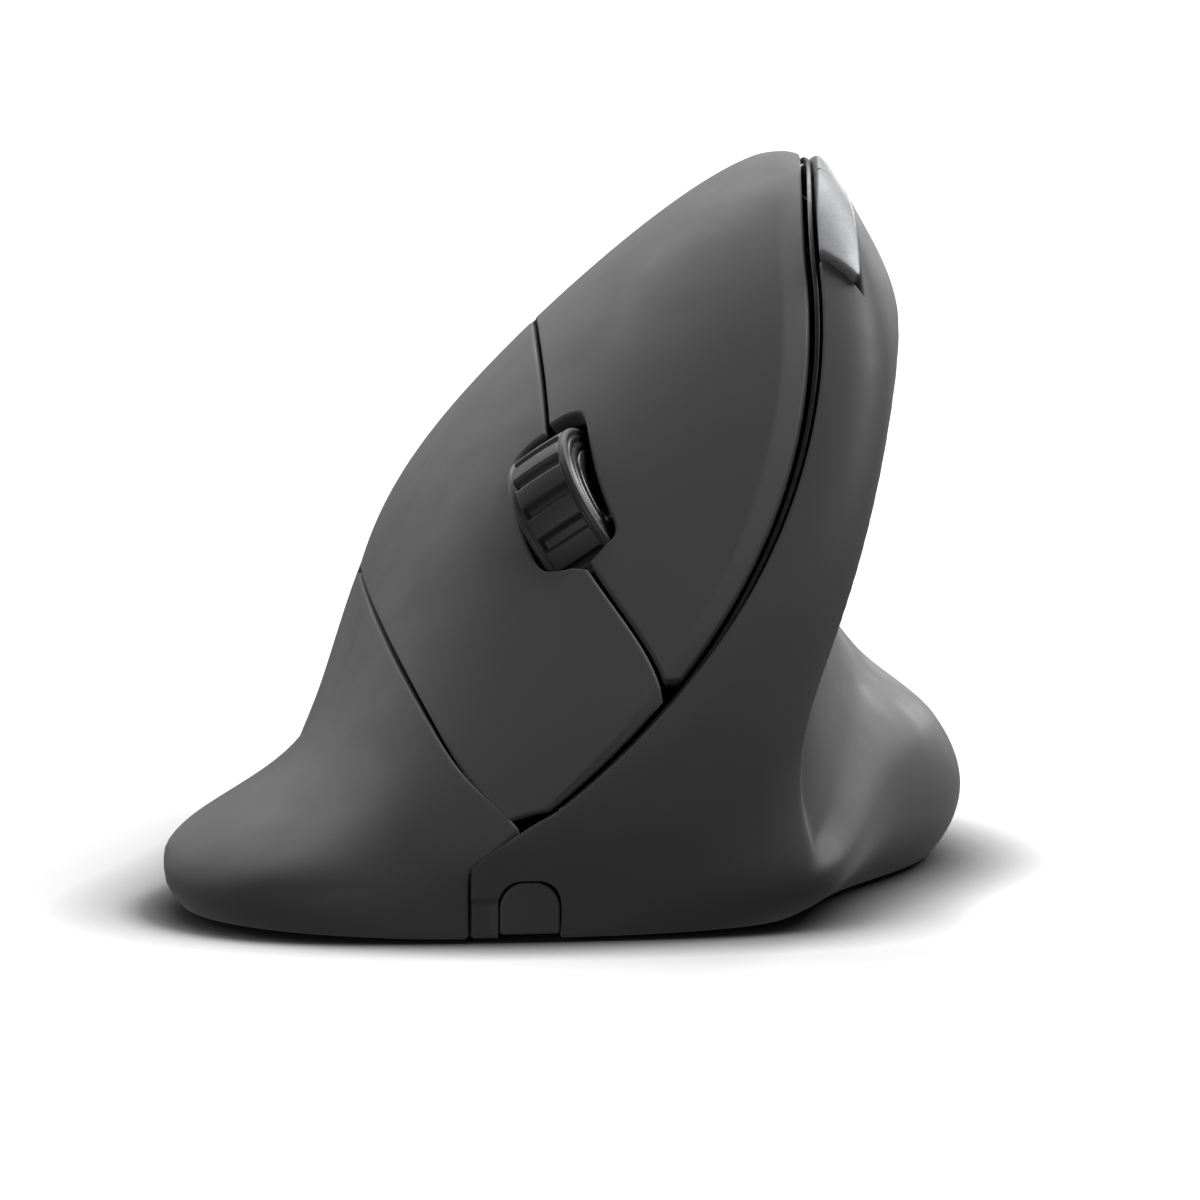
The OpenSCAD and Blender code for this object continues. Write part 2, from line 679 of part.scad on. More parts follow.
// Chassis that carries the wheel, the finger switches and the thumb switches
leg_x = from_wheel([guide_in, 0, tray_z - tray_t]).x;
module leg_foot() {
    translate([leg_x - leg_w / 2, leg_screw_y[0] - leg_w / 2, plate_top])
        cube([leg_w, leg_screw_y[1] - leg_screw_y[0] + leg_w, leg_foot_t]);
}
module rod(p, q, r) {
    d = q - p;
    translate(p) rotate([0, acos(d.z / norm(d)), atan2(d.y, d.x)]) cylinder(r = r, h = norm(d));
}
saddle_t = 4;
saddle_l = 6;
saddle_z = thumb_board_z - thumb_board_t - fit - saddle_t;
module chassis() {
    tray_x = guide_in - cheek_t;
    tray_w = guide_out + cheek_t - tray_x;
    arm_from = from_wheel([guide_out + cheek_t / 2, tray_l / 2 - arm_r, (tray_z + board_z - board_t) / 2]);
    arm_to = thumb_o + thumb_n * (saddle_z + saddle_t / 2);
    color("#55585e") difference() {
        union() {
            wheel_frame() {
                translate([tray_x, -tray_l / 2, tray_z - tray_t]) cube([tray_w, tray_l, tray_t]);
                for (x = [tray_x, guide_out])
                    translate([x, -tray_l / 2, tray_z - tray_t])
                        cube([cheek_t, tray_l, board_z - board_t - fit - tray_z + tray_t]);
            }
            hull() {
                wheel_frame() translate([tray_x, -tray_l / 2, tray_z - tray_t])
                    cube([leg_w / 2, tray_l, tray_t / 2]);
                body_frame() leg_foot();
            }
            body_frame() rod(arm_from, arm_to, arm_r);
            thumb_frame() translate([thumb_board_x, -saddle_l / 2, saddle_z])
                cube([thumb_board_w, saddle_l, saddle_t]);
        }
        body_frame() for (y = leg_screw_y)
            translate([leg_x, y, 0]) cylinder(r = screw_r + thread_gap, h = screw_l + 1);
    }
}
module button_board() {
    x0 = secondary_q.x - switch_size.x / 2 - board_margin / 2;
    x1 = primary_q.x + switch_size.x / 2 + board_margin / 2;
    color("#1f5e36") wheel_frame() difference() {
        translate([x0, -board_l[0], board_z - board_t]) cube([x1 - x0, board_l[0] + board_l[1], board_t]);
        translate([guide_in, -2 * board_l[0], board_z - 2 * board_t])
            cube([guide_out - guide_in, 2 * board_l[0] + board_slot_l, 4 * board_t]);
    }
}
module finger_switch(q) {
    color("#151517") wheel_frame() translate([q.x, q.y + post_y, board_z]) {
        translate([-switch_size.x / 2, -switch_size.y / 2, 0]) cube(switch_size);
        translate([-plunger_w / 2, -post_y - plunger_l / 2, switch_size.z])
            cube([plunger_w, plunger_l, plunger_h]);
    }
}
module primary_switch() {
    finger_switch(primary_q);
}
module secondary_switch() {
    finger_switch(secondary_q);
}
// Small push switch: a square body and a round plunger
module tact(size) {
    translate([-size.x / 2, -size.y / 2, 0]) cube(size);
    translate([0, 0, size.z]) cylinder(r = size.x / 4, h = plunger_h);
}
module click_switch() {
    color("#9a9ca0") wheel_frame() translate([0, 0, tray_z]) tact(click_size);
}
module thumb_board() {
    l = thumb_q[1].y - thumb_q[0].y + 2 * thumb_board_end;
    color("#1f5e36") thumb_frame()
        translate([thumb_board_x, thumb_q[0].y - thumb_board_end, thumb_board_z - thumb_board_t])
            cube([thumb_board_w, l, thumb_board_t]);
}
module thumb_switches() {
    color("#9a9ca0") thumb_frame() for (q = thumb_q) translate([q.x, q.y, thumb_board_z]) tact(tact_size);
}

// Base and what it carries
function foot_edge(v, us) = [for (u = us) let (p = skin(u, v)) [p.x, p.y]];
// Closed outline of the body's lower edge, moved in by d
function inset(path, d) = let (n = len(path)) [
    for (i = [0:n - 1]) let (s = path[(i + 1) % n] - path[(i + n - 1) % n])
        path[i] + d * [s.y, -s.x] / norm(s)
];
plate_us = [for (i = [0:outline_n]) (1 - cos(180 * i / outline_n)) / 2];
ledge_foot = foot_edge(1, flip(plate_us));
lower_edge = concat(foot_edge(0, plate_us), [for (i = [1:outline_n - 1]) ledge_foot[i]]);
module at_screws() {
    for (y = leg_screw_y) translate([leg_x, y, 0]) children();
    for (uv = [fin_boss_uv, ledge_boss_uv]) let (p = place(uv[0], uv[1], -wall))
        translate([p.x, p.y, 0]) children();
}
module at_standoffs() {
    for (x = [main_x[0] + standoff_in, main_x[1] - standoff_in])
        for (y = [main_y[0] + standoff_in, main_y[1] - standoff_in]) translate([x, y, plate_top]) children();
}
module base_plate() {
    color("#232427") body_frame() difference() {
        union() {
            linear_extrude(plate_t) polygon(inset(lower_edge, wall + plate_gap));
            translate([bay_x - bay_w / 2 - bay_wall, bay_y - bay_wall, 0])
                cube([bay_w + 2 * bay_wall, bay_l + 2 * bay_wall, bay_h + bay_wall]);
            at_standoffs() cylinder(r = standoff_r, h = standoff_h);
        }
        translate([bay_x - bay_w / 2, bay_y, -1]) cube([bay_w, bay_l, bay_h + 1]);
        at_standoffs() cylinder(r = screw_r + thread_gap, h = standoff_h + 1);
        at_screws() {
            cylinder(r = screw_r + head_gap, h = 2 * plate_t);
            translate([0, 0, -1]) cylinder(r = head_r + head_gap, h = head_h + head_sink + 1);
        }
        translate([sensor_at.x, sensor_at.y, -1]) cylinder(r = lens_r + lens_gap, h = plate_t + 2);
        translate([power_at.x - knob_size.x / 2 - knob_gap, power_at.y - knob_size.y / 2 - knob_gap, -1])
            cube([knob_size.x + 2 * knob_gap, knob_size.y + power_travel + 2 * knob_gap, plate_t + 2]);
    }
}
module screw(l) {
    cylinder(r = head_r, h = head_h);
    cylinder(r = screw_r, h = l);
}
module base_screws() {
    color("#8d9096") body_frame() at_screws() translate([0, 0, head_sink]) screw(screw_l - 1);
}
module board_screws() {
    color("#8d9096") body_frame() at_standoffs()
        translate([0, 0, standoff_h + board_t + head_h]) mirror([0, 0, 1])
            screw(head_h + board_t + standoff_h - 1);
}
module main_board() {
    color("#1f5e36") body_frame() difference() {
        translate([main_x[0], main_y[0], main_z])
            cube([main_x[1] - main_x[0], main_y[1] - main_y[0], board_t]);
        at_standoffs() cylinder(r = screw_r + head_gap, h = standoff_h + 2 * board_t);
    }
}
module controller_chip() {
    color("#111113") body_frame()
        translate([chip_at.x - chip_size.x / 2, chip_at.y - chip_size.y / 2, main_z + board_t])
            cube(chip_size);
}
module motion_sensor() {
    color("#111113") body_frame()
        translate([sensor_at.x - sensor_size.x / 2, sensor_at.y - sensor_size.y / 2, main_z - sensor_size.z])
            cube(sensor_size);
}
module sensor_lens() {
    color("#d8dde2") body_frame() translate([sensor_at.x, sensor_at.y, 0]) {
        translate([-lens_size.x / 2, -lens_size.y / 2, plate_top]) cube(lens_size);
        translate([0, 0, plate_top / 2]) cylinder(r = lens_r, h = plate_top / 2 + lens_size.z / 2);
    }
}
cell_y = bay_y + contact_t + spring_l;
module battery() {
    nub_r = 2.6;
    nub_h = 1;
    color("#2f6f9f") body_frame() translate([bay_x, cell_y, cell_z]) rotate([-90, 0, 0]) {
        cylinder(r = cell_d / 2, h = cell_l - nub_h);
        cylinder(r = nub_r, h = cell_l);
    }
}
module contact_plate() {
    color("#cfd1d5") body_frame()
        translate([bay_x - bay_w / 3, bay_y + bay_l - contact_t, cover_t + cell_lift])
            cube([bay_w * 2 / 3, contact_t, cell_d]);
}
spring_turns = 4;
spring_sides = 8;
// Point of the conical spring's wire, and the ring of corners round it
function coil_point(k) = let (a = 360 * spring_turns * k, r = spring_r * (1 - 0.35 * k))
    [r * cos(a), r * sin(a), spring_wire_r + k * (spring_l - 2 * spring_wire_r)];
function ring(k, d) = let (
    p = coil_point(k), t = unit(coil_point(k + d) - coil_point(k - d)),
    s = unit(cross(t, [0, 0, 1])), n = cross(s, t)
) [
    for (j = [0:spring_sides - 1]) let (b = 360 * j / spring_sides)
        p + spring_wire_r * (s * cos(b) + n * sin(b))
];
module contact_spring() {
    steps = spring_turns * 14;
    points = [for (i = [0:steps]) each ring(i / steps, 0.001)];
    c = spring_sides;
    faces = [
        [for (j = [0:c - 1]) j],
        each [for (i = [0:steps - 1]) for (j = [0:c - 1]) let (k = (j + 1) % c)
            each [[i * c + j, i * c + c + j, i * c + k], [i * c + k, i * c + c + j, i * c + c + k]]],
        [for (j = [c - 1:-1:0]) steps * c + j]
    ];
    color("#cfd1d5") body_frame() translate([bay_x, bay_y + contact_t, cell_z]) rotate([-90, 0, 0])
        polyhedron(points, faces);
}
cover_ribs = 4;
cover_rib = [8, 1, 0.5];
module battery_cover() {
    l = bay_l - 2 * cover_gap;
    w = bay_w - 2 * cover_gap;
    color("#2b2c2f") body_frame() translate([bay_x, bay_y + cover_gap, 0]) difference() {
        translate([-w / 2, 0, 0]) cube([w, l, cover_t]);
        for (k = [1:cover_ribs])
            translate([-cover_rib.x / 2, l - 3 * k * cover_rib.y - cover_rib.x, -1])
                cube([cover_rib.x, cover_rib.y, 1 + cover_rib.z]);
    }
}
module power_switch() {
    middle = power_at.y + power_travel / 2;
    color("#7d7f83") body_frame()
        translate([power_at.x - power_size.x / 2, middle - power_size.y / 2, plate_top]) cube(power_size);
}
module power_knob() {
    knob_z = plate_top - knob_gap - knob_size.z;
    color("#d6d7d9") body_frame()
        translate([power_at.x - knob_size.x / 2, power_at.y - knob_size.y / 2, knob_z]) cube(knob_size);
}
module glide_feet() {
    color("#0f0f10") body_frame() translate([0, 0, -foot_t]) for (f = feet)
        translate([f[0], f[1], 0]) rotate([0, 0, f[3]]) {
            run = f[2] - foot_w;
            translate([-run / 2, -foot_w / 2, 0]) cube([run, foot_w, foot_t]);
            for (side = [-1, 1]) translate([side * run / 2, 0, 0]) cylinder(r = foot_w / 2, h = foot_t);
        }
}

base_plate();
left_shell();
right_shell();
band_trim();
cable_blank();
primary_button();
secondary_button();
forward_button();
back_button();
wheel_tyre();
wheel_hub();
wheel_axle();
wheel_cradle();
encoder();
chassis();
button_board();
primary_switch();
secondary_switch();
click_switch();
thumb_board();
thumb_switches();
main_board();
controller_chip();
motion_sensor();
sensor_lens();
battery();
contact_plate();
contact_spring();
battery_cover();
power_switch();
power_knob();
glide_feet();
base_screws();
board_screws();
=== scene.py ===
# %% [markdown]
# # A vertical mouse, dressed cell by cell
# The mouse stands like a hand about to shake another hand. Its solids come from the CAD model as a fixed
# frame, so every piece made here has a known place and a body to ride on. This lesson makes the visible
# skin of the mouse from one smooth surface, cuts that surface along the real seams, and gives every piece
# its finish.

import bpy
import numpy as np
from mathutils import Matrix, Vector


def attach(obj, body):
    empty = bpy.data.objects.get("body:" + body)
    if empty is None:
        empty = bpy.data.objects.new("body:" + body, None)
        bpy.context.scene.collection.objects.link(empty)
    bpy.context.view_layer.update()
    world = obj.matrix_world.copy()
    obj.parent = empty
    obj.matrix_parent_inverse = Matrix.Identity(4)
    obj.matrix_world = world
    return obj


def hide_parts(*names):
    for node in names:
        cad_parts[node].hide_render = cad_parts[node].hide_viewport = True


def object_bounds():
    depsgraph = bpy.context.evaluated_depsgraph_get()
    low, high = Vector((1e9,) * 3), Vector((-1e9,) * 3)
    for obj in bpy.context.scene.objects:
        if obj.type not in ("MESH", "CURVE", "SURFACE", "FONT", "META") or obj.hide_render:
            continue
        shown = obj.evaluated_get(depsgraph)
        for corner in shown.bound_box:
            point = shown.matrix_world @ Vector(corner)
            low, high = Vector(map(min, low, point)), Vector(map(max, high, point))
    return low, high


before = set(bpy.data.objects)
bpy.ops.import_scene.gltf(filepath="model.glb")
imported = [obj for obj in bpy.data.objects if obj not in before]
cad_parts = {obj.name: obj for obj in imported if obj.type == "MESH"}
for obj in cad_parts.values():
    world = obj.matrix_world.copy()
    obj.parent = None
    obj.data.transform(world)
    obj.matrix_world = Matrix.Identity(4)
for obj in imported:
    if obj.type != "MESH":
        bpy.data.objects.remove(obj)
cad_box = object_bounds()
mm = 0.001

# %% [markdown]
# ## One surface for the whole hand shape
# The casings and the buttons are all cut from one moulded form, so one surface has to run under every
# seam. It could be sculpted, but a net of control points with a cubic spline over it is smoother and
# exact: a row of points per cross-section, from the rim of the fin over the ridge to the rim of the thumb
# ledge. The same net drives the CAD model. The first and last rows lie on an upright line, which closes
# the nose and the rear.

# %% Control net of the surface
station_y = np.array([-60, -51, -31, -6, 24, 50, 60], float)
section = np.array([
    [[-31, 3.5], [-24, 6], [-20, 7.5], [-16, 8.5], [-11, 9.5],
        [-6, 10.5], [0, 10], [8, 9], [15, 6], [20, 3]],
    [[-43.5, 4], [-26, 10.5], [-21, 15], [-11.5, 21.5], [1, 26],
        [16.5, 28.5], [20, 25.5], [22, 21.5], [19, 11.5], [27, 3.5]],
    [[-47.5, 7.5], [-26.5, 12.5], [-22, 24.5], [-14, 40], [9.5, 53],
        [26, 54], [29, 54], [29.5, 48], [21, 24], [32.5, 6]],
    [[-39, 3.5], [-23, 10.5], [-22, 31], [-14, 46], [10, 69],
        [24, 74.5], [28, 67], [38, 55.5], [17, 25.5], [50, 11]],
    [[-28.5, 3.5], [-21.5, 11.5], [-19, 29], [-10, 44], [13, 66],
        [26, 75.5], [30.5, 68], [31, 49], [21, 25], [47, 10]],
    [[-25, 3.5], [-23, 12.5], [-18.5, 24], [-10.5, 34.5], [5.5, 47.5],
        [20, 52], [24.5, 48], [30, 37], [30, 21], [37, 8]],
    [[-14, 3], [-14, 8], [-13, 12], [-11, 16], [-4, 20],
        [5, 22], [11, 20], [16, 16], [18, 10], [19, 3]],
], float)
nose_line, rear_line = (-14, 7), (3, 16)
tuck = (6, 9)
ridge_lead = 12
foot_t = 0.7
lead_row = np.array([0, 0, 0, 0, 0, 0.5, 1, 1, 0.9, 0.5, 0, 0])
lead_station = np.array([0, 0, 0.35, 0.8, 1, 0.9, 0.4, 0, 0])

fin_foot = np.stack([section[:, 0, 0] + tuck[0], np.zeros(7)], -1)
ledge_foot = np.stack([section[:, -1, 0] - tuck[1], np.zeros(7)], -1)
rows = np.concatenate([fin_foot[:, None], section, ledge_foot[:, None]], 1)


def closing_row(row, line):
    """Points of a row pressed on to the upright line at x = line[0], heights scaled to line[1]."""
    return np.stack([np.full(12, line[0]), row[:, 1] * line[1] / row[:, 1].max()], -1)


rows = np.concatenate([closing_row(rows[0], nose_line)[None], rows, closing_row(rows[-1], rear_line)[None]])
row_y = np.concatenate([station_y[:1], station_y, station_y[-1:]])
net_y = row_y[:, None] - ridge_lead * lead_row * lead_station[:, None]
net = np.stack([rows[..., 0], net_y, rows[..., 1]], -1)
print("net:", net.shape[0], "rows of", net.shape[1], "points")


# %% Spline surface over the net
def spline_weights(count, t):
    """Weights of count control points at t: the recursion of a clamped cubic spline with even knots."""
    knots = np.concatenate([np.zeros(3), np.linspace(0, 1, count - 2), np.ones(3)])
    t = np.clip(np.asarray(t, float), 0, 1 - 1e-9)[..., None]
    weight = ((t >= knots[:-1]) & (t < knots[1:])).astype(float)
    for degree in (1, 2, 3):
        rise = knots[degree:-1] - knots[:-degree - 1]
        fall = knots[degree + 1:] - knots[1:-degree]
        up = np.where(rise > 0, (t - knots[:-degree - 1]) / np.where(rise > 0, rise, 1), 0)
        down = np.where(fall > 0, (knots[degree + 1:] - t) / np.where(fall > 0, fall, 1), 0)
        weight = up * weight[..., :-1] + down * weight[..., 1:]
    return weight


def ease(x):
    """Smooth step from 0 to 1: three x squared minus two x cubed."""
    x = np.clip(x, 0, 1)
    return x * x * (3 - 2 * x)


band_v = 0.545
lean_v, lean_u, lean_back, lean_half = 0.04, (0.4, 0.62), (0.68, 0.98), 0.16


def leant(u, v):
    """Share v near the band, moved to the thumb side: v plus lean_v times a bell in u and in v."""
    start = ease((u - lean_u[0]) / (lean_u[1] - lean_u[0]))
    end = ease((u - lean_back[0]) / (lean_back[1] - lean_back[0]))
    return v + lean_v * start * (1 - end) * (1 - ease(np.abs(v - band_v) / lean_half))


def raw_skin(u, v):
    """Net points summed with the weights of u, from nose to rear, and v, from fin edge to ledge edge."""
    return np.einsum("...i,ijk,...j->...k", spline_weights(9, u), net, spline_weights(12, leant(u, v)))


rim_u, rim_v = np.meshgrid(np.arange(10, 31, 2) / 40, [0.04, 0.06, 0.08, 0.1, 0.92, 0.94, 0.96])
rim_x = raw_skin(rim_u, rim_v)[..., 0]
home = np.array([-(rim_x.max() + rim_x.min()) / 2, 0, foot_t])


def skin(u, v):
    """Surface point in millimetres in the frame of the CAD model."""
    u, v = np.broadcast_arrays(u, v)
    return raw_skin(u, v) + home


tiny = 2e-4


def along_u(u, v):
    """Change of the surface point with u, by a small step towards the middle."""
    step = np.where(u > 0.5, -tiny, tiny)
    return (skin(u + step, v) - skin(u, v)) / step[..., None]


def along_v(u, v):
    """Change of the surface point with v, by a small step towards the middle."""
    step = np.where(v > 0.5, -tiny, tiny)
    return (skin(u, v + step) - skin(u, v)) / step[..., None]


def unit(p):
    """Arrows of length one."""
    return p / np.maximum(np.linalg.norm(p, axis=-1, keepdims=True), 1e-12)


pole_u = 0.02


def outward(u, v):
    """Arrow out of the surface: along_v cross along_u, straight fore or aft on the closing lines."""
    u, v = np.broadcast_arrays(np.asarray(u, float), np.asarray(v, float))
    inner = np.clip(u, pole_u, 1 - pole_u)
    share = np.minimum(1, np.minimum(u, 1 - u) / pole_u)[..., None]
    end = np.where(u < 0.5, -1.0, 1.0)[..., None] * np.array([0, 1.0, 0])
    return unit(share * unit(np.cross(along_v(inner, v), along_u(inner, v))) + (1 - share) * end)


print("top of the ridge at", skin(np.linspace(0.3, 0.6, 60), np.full(60, 0.55))[:, 2].max().round(2), "mm")

# %% [markdown]
# ## Seams as curves on the surface
# A seam is a line on the surface, so it is one coordinate given by the other: the split between the
# finger buttons is v as a function of u, the seam behind them is u as a function of v. Widths of gaps are
# wanted in millimetres, so each width is divided by the length of the surface's own step there.

# %% Seam lines and gap widths
split_v, split_turn, split_u = 0.38, 0.36, 0.125
low_v, low_bend, low_off = 0.19, 0.0166, 0.015
rear_u, rear_slant = 0.6, 0.25
wheel_u, tip_u, tip_ramp = 0.292, 0.034, 0.017
window_u, thumb_v, thumb_split = (0.381, 0.626), 0.615, 0.511
seam_gap, casing_gap, groove_w, slot_back = 0.5, 0.26, 1.5, 0.4
wheel_w, slot_gap, slot_l, slot_shift, slot_power = 7, 0.8, 19.6, 0.5, 10


def split_at(u):
    """Split between the finger buttons: level, then rising with the third power towards the nose."""
    return split_v + (band_v - split_v) * (np.maximum(0, split_turn - u) / (split_turn - split_u)) ** 3


def low_at(u):
    """Seam under the lower button: a hyperbola that climbs to the band at the nose."""
    return low_v + low_bend / (u + low_off)


def rear_at(v):
    """Seam behind the finger buttons: u rising evenly with v."""
    return rear_u + rear_slant * (v - split_v)


def girth_share(width, u, v):
    """Millimetres across the seam as a share v."""
    return width / np.linalg.norm(along_v(u, v), axis=-1)


def length_share(width, u, v):
    """Millimetres along the body as a share u."""
    return width / np.linalg.norm(along_u(u, v), axis=-1)


band_end = rear_at(band_v)
here = (np.array(wheel_u), np.array(split_v))
slot_u = float(length_share(slot_l / 2, *here))
slot_mid = wheel_u + float(length_share(slot_shift, *here))
slot_low = wheel_u - float(length_share(slot_back, *here))
slot_w = wheel_w + 2 * slot_gap


def groove_half(u):
    """Half width of the band's groove in millimetres, opening from the casing seam behind the tip."""
    wide = casing_gap / 2 + (groove_w - casing_gap) / 2 * ease((u - tip_u) / tip_ramp)
    return np.where(u < band_end, wide, casing_gap / 2)


def split_half(u, inset, middle):
    """Half width of the split with the wheel's slot in it: an even gap, or a superellipse round the slot."""
    reach = slot_u + inset / slot_l * 2 * slot_u
    room = np.sqrt(np.maximum(0, 1 - (np.abs(u - middle) / reach) ** slot_power))
    return np.maximum(seam_gap / 2 + inset, (slot_w / 2 + inset) * room)


print("wheel slot:", round(slot_w, 1), "by", slot_l, "mm")

# %% [markdown]
# ## Moulded relief
# Three shapes lie on top of the smooth surface. The thumb scoop is a shallow dish behind a crisp front
# lip, the finger buttons dip along the band in a narrow bevel, and the nose wall has a shallow step at
# its foot. They could be sculpted, but all are heights over the surface here, because adding them along
# the outward arrow keeps every seam where it is.

# %% Scoop and bevel
scoop_d, scoop_v, scoop_end = 2.0, (0.66, 0.72, 0.91, 0.945), (0.45, 0.8)
lip_u, lip_rise, lip_turn, lip_power, lip_v, lip_span, lip_width = 0.105, 0.07, 0.08, 10, 0.93, 0.18, 0.035
lip_soft, lip_aspect = 0.12, 0.4
bevel_d, bevel_v, bevel_soft = 0.8, 0.028, 0.07
recess_d, recess_x, recess_z, recess_y, recess_soft = 0.5, (-14, -11.0), 4.3, -57, 0.7


def scoop(u, v):
    """Dish depth times steps: a parabola behind the lip, wider where the lip turns, and smooth ones."""
    low = np.maximum(0, lip_v - v) / lip_span
    lip = lip_u + lip_rise * low + lip_turn * low ** lip_power
    steep = (lip_rise + lip_turn * lip_power * low ** (lip_power - 1)) / lip_span
    run = np.clip((u - lip) / (lip_width * np.sqrt(1 + (lip_aspect * steep) ** 2)), -lip_soft, 1)
    run = np.where(run > lip_soft, run, (run + lip_soft) ** 2 / (4 * lip_soft))
    across = ease((v - scoop_v[0]) / (scoop_v[1] - scoop_v[0]))
    across = across * (1 - ease((v - scoop_v[2]) / (scoop_v[3] - scoop_v[2])))
    fade = 1 - ease((u - scoop_end[0]) / (scoop_end[1] - scoop_end[0]))
    return -scoop_d * run * (2 - run) * across * fade


def bevel(u, v):
    """Straight slope down to the band, with a short parabola where it starts, on the finger buttons only."""
    x = 1 - (band_v - v) / bevel_v
    slope = np.where(x > bevel_soft, x, np.maximum(0, x + bevel_soft) ** 2 / (4 * bevel_soft))
    return np.where((v < band_v) & (u < rear_at(v)), -bevel_d * slope, 0)


def recess(u, v):
    """Shallow step at the foot of the nose wall, beside the plug: smooth steps in x and z on the surface."""
    p = skin(u, v)
    beside = ease((recess_x[1] - p[..., 0]) / recess_soft) * (p[..., 1] < recess_y)
    return -recess_d * beside * ease((recess_z - p[..., 2]) / recess_soft) * (v > band_v)


def place(u, v, h):
    """Surface point lifted by its relief and by h millimetres."""
    height = scoop(u, v) + bevel(u, v) + recess(u, v) + h
    return skin(u, v) + height[..., None] * outward(u, v)


print("deepest scoop:", scoop(np.linspace(0, 1, 200), np.full(200, 0.82)).min().round(2), "mm")

# %% [markdown]
# ## From a grid to a moulded panel
# Each casing or button is a thin wall with rounded edges. Blender's Solidify and Bevel could make that,
# but a bevel stumbles where the cells are narrower than its width. Here the wall is worked out instead:
# the grid is the outer face, its border loop is carried over the edge on a quarter circle, down the side
# and under, and the inner face closes it.


# %% Panel maker
soft_room = 0.6


def border_loop(quads):
    """Border of quads in order: edges used once give each corner's successor, followed by doubling."""
    edge = np.concatenate([quads[:, [k, (k + 1) % 4]] for k in range(4)])
    size = quads.max() + 1
    code = edge[:, 0] * size + edge[:, 1]
    lone = edge[~np.isin(code, edge[:, 1] * size + edge[:, 0])]
    jump = np.full(size, -1)
    jump[lone[:, 0]] = lone[:, 1]
    loop = lone[:1, 0]
    while len(loop) < len(lone):
        loop = np.concatenate([loop, jump[loop]])
        jump = jump[jump]
    return loop[:len(lone)]


def strips(loops):
    """Quads between neighbouring closed loops of one length, facing as the first loop's cells do."""
    a, b = loops[:-1], loops[1:]
    return np.stack([np.roll(a, -1, axis=1), a, b, np.roll(b, -1, axis=1)], -1).reshape(-1, 4)


def grid_quads(shape):
    """Cells of a grid of rows and columns, as four corner numbers each."""
    number = np.arange(shape[0] * shape[1]).reshape(shape)
    return np.stack([number[:-1, :-1], number[:-1, 1:], number[1:, 1:], number[1:, :-1]], -1)


def make_piece(name, points, quads):
    """Mesh object from millimetre points and quads, smooth shaded, with its place in its mesh."""
    mesh = bpy.data.meshes.new(name)
    mesh.vertices.add(len(points))
    mesh.vertices.foreach_set("co", (np.asarray(points) * mm).astype(np.float32).ravel())
    mesh.loops.add(quads.size)
    mesh.loops.foreach_set("vertex_index", quads.astype(np.int32).ravel())
    mesh.polygons.add(len(quads))
    mesh.polygons.foreach_set("loop_start", np.arange(0, quads.size, 4, dtype=np.int32))
    mesh.polygons.foreach_set("use_smooth", np.ones(len(quads), bool))
    mesh.update(calc_edges=True)
    mesh.validate()
    piece = bpy.data.objects.new(name, mesh)
    bpy.context.collection.objects.link(piece)
    print(name, "has", len(points), "points and", len(quads), "faces")
    return piece


def held(points):
    """Points kept in the CAD box: past a line soft_room inside a side, they slow down on a parabola."""
    low, high = np.array(cad_box) / mm
    over = np.clip(points - (high - soft_room), 0, 2 * soft_room)
    under = np.clip(low + soft_room - points, 0, 2 * soft_room)
    moved = (under ** 2 - over ** 2) / (4 * soft_room)
    return points + moved * np.array([1, 0, 1]) * (points[..., 2:] > soft_room)


def panel(name, u, v, thick, edge, proud=0.0, keep=None):
    """Wall under a grid: outer cells, a quarter-circle rim of radius edge, a side and inner cells."""
    cells = grid_quads(u.shape)
    quads = cells.reshape(-1, 4) if keep is None else cells[keep]
    used, quads = np.unique(quads, return_inverse=True)
    quads = quads.reshape(-1, 4)
    u, v = u.ravel()[used], v.ravel()[used]
    normal = outward(u, v)
    proud = proud(u) if callable(proud) else proud
    top = place(u, v, proud)
    loop = border_loop(quads)
    side = unit(np.cross(np.roll(top[loop], -1, 0) - np.roll(top[loop], 1, 0), normal[loop]))
    bend = np.radians([22.5, 45, 67.5, 90])[:, None, None]
    rim = top[loop] + edge * (side * np.sin(bend) - normal[loop] * (1 - np.cos(bend)))
    foot = top[loop] + side * edge - normal[loop] * thick
    count, ring = len(top), len(loop)
    between = count + np.arange(5 * ring).reshape(5, ring)
    rings = np.concatenate([loop[None], between, (loop + count + 5 * ring)[None]])
    points = np.concatenate([top, rim.reshape(-1, 3), foot, place(u, v, proud - thick)])
    faces = np.concatenate([quads, strips(rings), quads[:, ::-1] + count + 5 * ring])
    return make_piece(name, held(points), faces)


def tight(n):
    """Shares from 0 to 1 with a close pair at either end, which keeps the shading of the rims short."""
    return np.concatenate([[0, 0.008], np.linspace(0.03, 0.97, n), [0.992, 1]])


def hat(s):
    """Tent from 0 at both ends to 1 at the rear seam, which leans the columns to follow that seam."""
    return np.where(s < rear_u, s / rear_u, (1 - s) / (1 - rear_u))


wall, tip_wall, edge_r = 1.8, 0.7, 0.3

# %% [markdown]
# ## Finishes
# Nearly all of the mouse is soft-touch paint over plastic: dull, faintly grainy and slightly uneven in
# shade. One function makes these paints, with grain as fine bump and two sizes of noise in the colour and
# the roughness. Rubber is the same coat with a coarser grain. The gloss band and hub and the silver
# buttons get recipes of their own.


# %% Node helpers
def new_finish(name):
    """Empty node material with its shader, and short ways to add a node and a link."""
    finish = bpy.data.materials.new(name)
    finish.use_nodes = True
    nodes, links = finish.node_tree.nodes, finish.node_tree.links
    return finish, nodes, links, nodes["Principled BSDF"]


